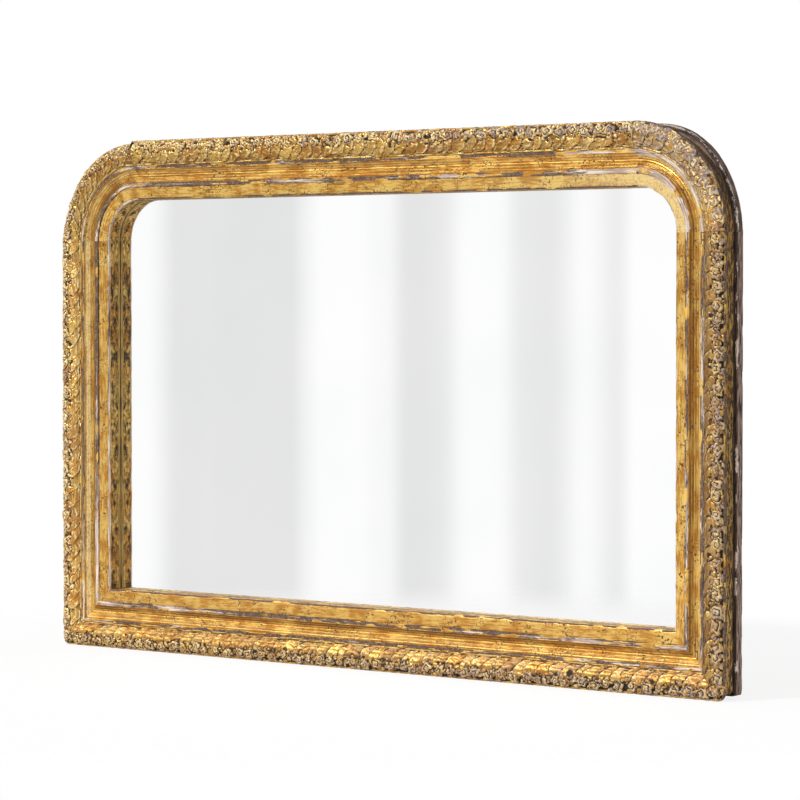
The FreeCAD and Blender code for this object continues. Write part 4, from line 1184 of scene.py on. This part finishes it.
# Metal fittings
BRUSHING = {"scale": (1800, 1800, 260)}
DULLING = {"scale": 160, "detail": 4}
TARNISH = {"scale": 320, "detail": 4, "roughness": 0.6}
DULLED = (0.35, 0.65)
TARNISHED = (0.56, 0.7, 0, 0.8)
BRUSHED = (0.3, 0.7)
BRUSHED_SPREAD = 0.16
TARNISH_ROUGHNESS = 0.7
TARNISH_METAL = 0.2
METAL_BUMP_STRENGTH = 0.25
METAL_BUMP = 0.1 * MM


def metal_group():
    """Aged metal: brushed, dulled in patches, with rust or tarnish in spots."""
    group, entry, leave = new_group(
        "aged_metal",
        [("Place", "Vector"), ("Light", "Color"), ("Deep", "Color"), ("Rust", "Color"), ("Polish", "Float")],
        [("Color", "Color"), ("Roughness", "Float"), ("Metallic", "Float"), ("Height", "Float")],
    )
    given = entry.outputs
    place = given["Place"]
    brushed = grain(group, place, **BRUSHING)
    stain = between(group, grain(group, place, **TARNISH), *TARNISHED)
    dulled = between(group, grain(group, place, **DULLING), *DULLED)
    colour = blend(group, dulled, given["Light"], given["Deep"])
    roughest = plus(group, given["Polish"], BRUSHED_SPREAD)
    gloss = between(group, brushed, *BRUSHED, given["Polish"], roughest)
    hand_out(group, leave, Color=blend(group, stain, colour, given["Rust"]),
             Roughness=blend_value(group, stain, gloss, TARNISH_ROUGHNESS),
             Metallic=blend_value(group, stain, 1.0, TARNISH_METAL), Height=brushed)
    return group


AGED_METAL = metal_group()


def metal(name, light, deep, rust, polish):
    """A material of aged metal in its own colours and polish."""
    material, tree, shader = new_material(name)
    sockets = {"Place": object_space(tree), "Light": light, "Deep": deep, "Rust": rust, "Polish": polish}
    aged = add(tree, "ShaderNodeGroup", sockets, node_tree=AGED_METAL).outputs
    feed(tree, shader, aged["Height"], METAL_BUMP_STRENGTH, METAL_BUMP, Base_Color=aged["Color"],
         Roughness=aged["Roughness"], Metallic=aged["Metallic"])
    return material


# Felt, rubber and the hidden tongues
LINT = paint(120, 112, 104)
FUZZ_DETAIL = {"detail": 4, "roughness": 0.7}
LINT_SCALE = 0.25
FUZZY = (0.3, 0.7)
LINTED = (0.45, 0.7, 0, 0.25)
FUZZ_ROUGHNESS = (0.3, 0.7, 0.8, 0.95)
FUZZ_BUMP_STRENGTH = 0.6
FUZZ_BUMP = 0.3 * MM


def fibre_group():
    """Felt, rubber and rough wood: fibres, lint and slight unevenness."""
    group, entry, leave = new_group(
        "soft_fibres",
        [("Place", "Vector"), ("Light", "Color"), ("Deep", "Color"), ("Scale", "Float")],
        [("Color", "Color"), ("Roughness", "Float"), ("Height", "Float")],
    )
    given = entry.outputs
    place = given["Place"]
    fibre = grain(group, place, given["Scale"], **FUZZ_DETAIL)
    lint = between(group, grain(group, place, times(group, given["Scale"], LINT_SCALE)), *LINTED)
    colour = blend(group, between(group, fibre, *FUZZY), given["Deep"], given["Light"])
    hand_out(group, leave, Color=blend(group, lint, colour, LINT),
             Roughness=between(group, fibre, *FUZZ_ROUGHNESS), Height=fibre)
    return group


SOFT_FIBRES = fibre_group()


def soft(name, light, deep, scale):
    """A material of soft or rough fibres in its own colours and fineness."""
    material, tree, shader = new_material(name)
    sockets = {"Place": object_space(tree), "Light": light, "Deep": deep, "Scale": scale}
    fibres = add(tree, "ShaderNodeGroup", sockets, node_tree=SOFT_FIBRES).outputs
    feed(tree, shader, fibres["Height"], FUZZ_BUMP_STRENGTH, FUZZ_BUMP, Base_Color=fibres["Color"],
         Roughness=fibres["Roughness"])
    return material


# Backing board
PLY_LIGHT = paint(196, 160, 112)
PLY_DEEP = paint(160, 120, 76)
PLY_PORE = paint(96, 66, 40)
PLY_STAIN = paint(112, 84, 56)
PLY_RINGS = {"scale": (2.5, 40, 55), "detail": 5, "roughness": 0.6}
PLY_PORES = {"scale": (60, 900, 1400), "roughness": 0.6}
PLY_STAINS = {"scale": 7, "detail": 4}
DEEP_PLY_RINGS = (0.36, 0.64)
DARK_PORES = (0.55, 0.75, 0, 0.6)
DARK_PLY_STAINS = (0.52, 0.76, 0, 0.5)
PLY_ROUGHNESS = (0.3, 0.7, 0.6, 0.82)
PLY_BUMP_STRENGTH = 0.3
PLY_BUMP = 0.2 * MM


def backing_ply():
    """Thin plywood of the backing: long grain, pores and a few stains."""
    material, tree, shader = new_material("backing_ply")
    place = object_space(tree)
    pores = grain(tree, place, **PLY_PORES)
    colour = blend(tree, between(tree, grain(tree, place, **PLY_RINGS), *DEEP_PLY_RINGS), PLY_LIGHT, PLY_DEEP)
    colour = blend(tree, between(tree, pores, *DARK_PORES), colour, PLY_PORE)
    stain = between(tree, grain(tree, place, **PLY_STAINS), *DARK_PLY_STAINS)
    feed(tree, shader, pores, PLY_BUMP_STRENGTH, PLY_BUMP, Base_Color=blend(tree, stain, colour, PLY_STAIN),
         Roughness=between(tree, pores, *PLY_ROUGHNESS))
    return material


# Finishes of the CAD nodes that keep their own shape, by their names or the start of them
DARK_FELT = (paint(60, 58, 56), paint(38, 36, 35))
BROWN_FELT = (paint(112, 92, 70), paint(82, 66, 48))
RUBBER = (paint(54, 52, 50), paint(36, 35, 34))
BEECH = (paint(190, 150, 108), paint(160, 120, 80))
ZINCED_STEEL = (paint(190, 188, 182), paint(146, 142, 134), paint(96, 70, 46))
DULL_STEEL = (paint(176, 172, 162), paint(128, 122, 112), paint(84, 58, 38))
BRASS = (paint(206, 168, 92), paint(158, 118, 56), paint(86, 62, 34))
FINISHES = {
    "mirror_plate": silvered_glass(),
    "backing_board": backing_ply(),
    "rebate_felt": soft("rebate_felt", *DARK_FELT, scale=1400),
    "setting_blocks": soft("setting_rubber", *RUBBER, scale=700),
    "wall_pads": soft("wall_pad_felt", *BROWN_FELT, scale=1500),
    "base_pads": soft("base_pad_felt", *BROWN_FELT, scale=1500),
    "joint_tongues": soft("tongue_beech", *BEECH, scale=300),
    "hanger": metal("hanger_steel", *ZINCED_STEEL, polish=0.3),
    "turn_button": metal("button_brass", *BRASS, polish=0.3),
}
SCREW_STEEL = metal("screw_steel", *DULL_STEEL, polish=0.32)


def finish_for(node):
    """The finish of a CAD node, if it keeps its own shape."""
    if node.endswith("_screws"):
        return SCREW_STEEL
    return next((finish for start, finish in FINISHES.items() if node.startswith(start)), None)


for node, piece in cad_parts.items():
    material = finish_for(node)
    if material:
        piece.data.materials.clear()
        piece.data.materials.append(material)

# The mouldings: three layers of six runs
Moulding = namedtuple("Moulding", "name section start row dress set_in material slot crease edge corner")
MOULDINGS = (
    Moulding(name="back", section=BACK_SECTION, start=0, row=BACK_ROW, dress=dress_back, set_in=set_in_back,
             material=back_pine(), slot="back_wood", crease=BACK_CREASE, edge=BACK_INSET, corner=BACK_CORNER),
    Moulding(name="core", section=CORE_SECTION, start=0, row=CORE_ROW, dress=dress_core, set_in=set_in_core,
             material=gilt_moulding(), slot="gilt_moulding", crease=CORE_CREASE, edge=CORE_INSET,
             corner=BACK_CORNER),
    Moulding(name="slip", section=SLIP_SECTION, start=EDGE_CUTS, row=SLIP_ROW, dress=dress_slip,
             set_in=set_in_slip, material=gilt_carving(), slot="gilt_carving", crease=None, edge=0,
             corner=SLIP_CORNER),
)


def sheet_for(name, columns, rows, reach=1):
    """The mesh of a flat sheet with so many faces across and along it."""
    bm = bmesh.new()
    bmesh.ops.create_grid(bm, x_segments=columns, y_segments=rows, size=reach)
    mesh = bpy.data.meshes.new(name)
    bm.to_mesh(mesh)
    bm.free()
    return mesh


def close_bar(mesh, columns):
    """Joins the sheet's first and last columns, fills its two ends and turns its faces outwards."""
    bm = bmesh.new()
    bm.from_mesh(mesh)
    bm.verts.ensure_lookup_table()
    seam = [vert for vert in bm.verts if vert.index % columns in (0, columns - 1)]
    bmesh.ops.remove_doubles(bm, verts=seam, dist=SEAM_REACH)
    open_edges = [edge for edge in bm.edges if edge.is_boundary]
    bmesh.ops.edgeloop_fill(bm, edges=open_edges)
    bmesh.ops.recalc_face_normals(bm, faces=bm.faces)
    bm.to_mesh(mesh)
    bm.free()


def shape_run(mesh, moulding, suffix, rows, columns):
    """Bends a sheet round the moulding's section, dresses it, lays it in its place and keeps its finish."""
    length, mitre, lay = RUNS[suffix]
    section = moulding.section
    around = np.arange(columns) % len(section)
    rise, inset = np.tile(section[around], (rows + 1, 1)).T
    outward = np.tile(outward_of(section)[around], (rows + 1, 1))
    girth = np.tile(girth_of(section, moulding.start)[around], rows + 1)
    run = np.repeat(np.linspace(0, length, rows + 1), columns)
    along = mitre(run, inset)
    ends = np.minimum(run, length - run)
    lift, finish, rub = moulding.dress(suffix, along, inset, rise, girth, ends, length)
    shift = moulding.set_in(suffix, along, inset)
    rise = rise + outward[:, 0] * lift
    inset = inset + outward[:, 1] * lift + shift
    across, up = rub_corner(*lay(along, inset), moulding.edge, moulding.corner)
    placed = np.stack((across, WALL_PLANE - rise, up), 1)
    mesh.vertices.foreach_set("co", placed.ravel())
    strip = np.stack((along + rng.uniform(0, RUN_SHIFT), girth, rise), 1)
    for name, values in (("run", strip), ("finish", finish), ("rub", rub)):
        layer = mesh.attributes.new(name, "FLOAT_VECTOR", "POINT")
        layer.data.foreach_set("vector", values.astype(np.float32).ravel())


def make_run(moulding, suffix):
    """One run of a moulding, as one closed piece in place of its CAD node."""
    node = moulding.name + "_" + suffix
    rows = max(2, round(RUNS[suffix][0] / moulding.row))
    columns = len(moulding.section) + 1
    mesh = sheet_for(node, len(moulding.section), rows)
    shape_run(mesh, moulding, suffix, rows, columns)
    close_bar(mesh, columns)
    mesh.shade_smooth()
    if moulding.crease:
        mesh.set_sharp_from_angle(angle=moulding.crease)
    mesh.materials.append(moulding.material)
    piece = bpy.data.objects.new(node + "_worn", mesh)
    bpy.context.scene.collection.objects.link(piece)
    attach(piece, "frame")
    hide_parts(node)


for suffix in RUN_NAMES:
    for moulding in MOULDINGS:
        make_run(moulding, suffix)

# Floor
FLOOR_REACH = 2.4
FLOOR_CUTS = 2
FLOOR_FADE = (0.75, 1.5)
FLOOR_GLOW = 0.82
FLOOR_ROUGHNESS = 0.9
FLOOR_PALE = (0.97, 0.97, 0.97, 1)
WHITE = (1, 1, 1, 1)


def make_floor():
    """A pale floor that keeps the shadow near the object and clears to the white behind it further out."""
    mesh = sheet_for("floor", FLOOR_CUTS, FLOOR_CUTS, FLOOR_REACH)
    floor = bpy.data.objects.new("floor", mesh)
    bpy.context.scene.collection.objects.link(floor)
    material, tree, shader = new_material("floor_white")
    shader.inputs["Base Color"].default_value = FLOOR_PALE
    shader.inputs["Roughness"].default_value = FLOOR_ROUGHNESS
    shader.inputs["Specular IOR Level"].default_value = 0.0
    away = add(tree, "ShaderNodeVectorMath", {0: object_space(tree)}, operation="LENGTH").outputs["Value"]
    seen = add(tree, "ShaderNodeLightPath").outputs["Is Camera Ray"]
    glow = add(tree, "ShaderNodeEmission", {"Color": WHITE, "Strength": 1.0})
    clear = add(tree, "ShaderNodeBsdfTransparent")
    lit = times(tree, seen, FLOOR_GLOW)
    shaded = add(tree, "ShaderNodeMixShader", {0: lit, 1: shader.outputs[0], 2: glow.outputs[0]})
    far = between(tree, away, *FLOOR_FADE)
    mixed = add(tree, "ShaderNodeMixShader", {0: far, 1: shaded.outputs[0], 2: clear.outputs[0]})
    tree.links.new(mixed.outputs[0], tree.nodes["Material Output"].inputs["Surface"])
    mesh.materials.append(material)


# Surroundings: pale bands where the mirror looks, and soft lamps in a darker room for the gilding
AMBIENT = 0.66
MIRROR_WAY = (-0.648, -0.762, 0)
MIRROR_CONE = (0.9, 0.97)
BAND_TURNS = 12
BAND_NOISE = {"Scale": 2.0, "Detail": 2.0}
PALE_BANDS = (0.36, 0.6, 0.8, 1.0)
LAMP_NOISE = {"Scale": 2.6, "Detail": 1.0}
LAMPS = (0.42, 0.58, 0.12, 1.0)
BEHIND = (-0.35, 0.25, 1.0, 0.5)
BELOW = (-0.7, -0.1, 0.5, 1.0)


def make_world():
    """White all round for the camera, with what the mirror and the gilding reflect, and an even light."""
    world = bpy.data.worlds.new("studio")
    bpy.context.scene.world = world
    world.use_nodes = True
    tree = world.node_tree
    tree.nodes.clear()
    path = add(tree, "ShaderNodeLightPath").outputs
    way = add(tree, "ShaderNodeTexCoord").outputs["Generated"]
    right, back, up = parts_of(tree, way)
    turn = times(tree, maths(tree, "ARCTAN2", right, back), BAND_TURNS)
    bands = add(tree, "ShaderNodeTexNoise", {"W": turn, **BAND_NOISE}, noise_dimensions="1D").outputs["Fac"]
    ahead = add(tree, "ShaderNodeVectorMath", {0: way, 1: MIRROR_WAY}, operation="DOT_PRODUCT")
    cone = between(tree, ahead.outputs["Value"], *MIRROR_CONE)
    lamps = add(tree, "ShaderNodeTexNoise", {"Vector": way, **LAMP_NOISE}).outputs["Fac"]
    falling = times(tree, between(tree, back, *BEHIND), between(tree, up, *BELOW))
    room = times(tree, between(tree, lamps, *LAMPS), falling)
    shown = blend_value(tree, cone, room, between(tree, bands, *PALE_BANDS))
    shown = blend_value(tree, path["Is Camera Ray"], shown, 1.0)
    clear = larger(tree, path["Is Camera Ray"], path["Is Glossy Ray"])
    clear = larger(tree, clear, path["Is Transmission Ray"])
    level = blend_value(tree, clear, AMBIENT, shown)
    backdrop = add(tree, "ShaderNodeBackground", {"Color": WHITE, "Strength": level})
    add(tree, "ShaderNodeOutputWorld", {"Surface": backdrop.outputs[0]})


# Lamp and camera, with angles in degrees
SUN_STRENGTH = 1.75
SUN_SPREAD = 5
SUN_PITCH = 54
SUN_TURN = -24
CAMERA_PLACE = (3.2315, -3.7997, 0.5227)
CAMERA_PITCH = 90 - 1.618
CAMERA_TURN = 40.03
LENS = 158.75
SENSOR_WIDTH = 36


def turned(pitch, turn):
    """A turn by a pitch from straight down, and then about the upright."""
    return Euler((math.radians(pitch), 0, math.radians(turn)))


def make_sun():
    """One soft sun from above, in front and to the left."""
    lamp = bpy.data.lights.new("key", "SUN")
    lamp.energy = SUN_STRENGTH
    lamp.angle = math.radians(SUN_SPREAD)
    sun = bpy.data.objects.new("key", lamp)
    sun.rotation_euler = turned(SUN_PITCH, SUN_TURN)
    bpy.context.scene.collection.objects.link(sun)


def make_camera():
    """The camera, placed and turned as for the photo."""
    lens = bpy.data.cameras.new("camera")
    lens.lens = LENS
    lens.sensor_width = SENSOR_WIDTH
    camera = bpy.data.objects.new("camera", lens)
    camera.location = CAMERA_PLACE
    camera.rotation_euler = turned(CAMERA_PITCH, CAMERA_TURN)
    bpy.context.scene.collection.objects.link(camera)
    bpy.context.scene.camera = camera


make_floor()
make_world()
make_sun()
make_camera()
bpy.context.scene.view_settings.view_transform = "Standard"
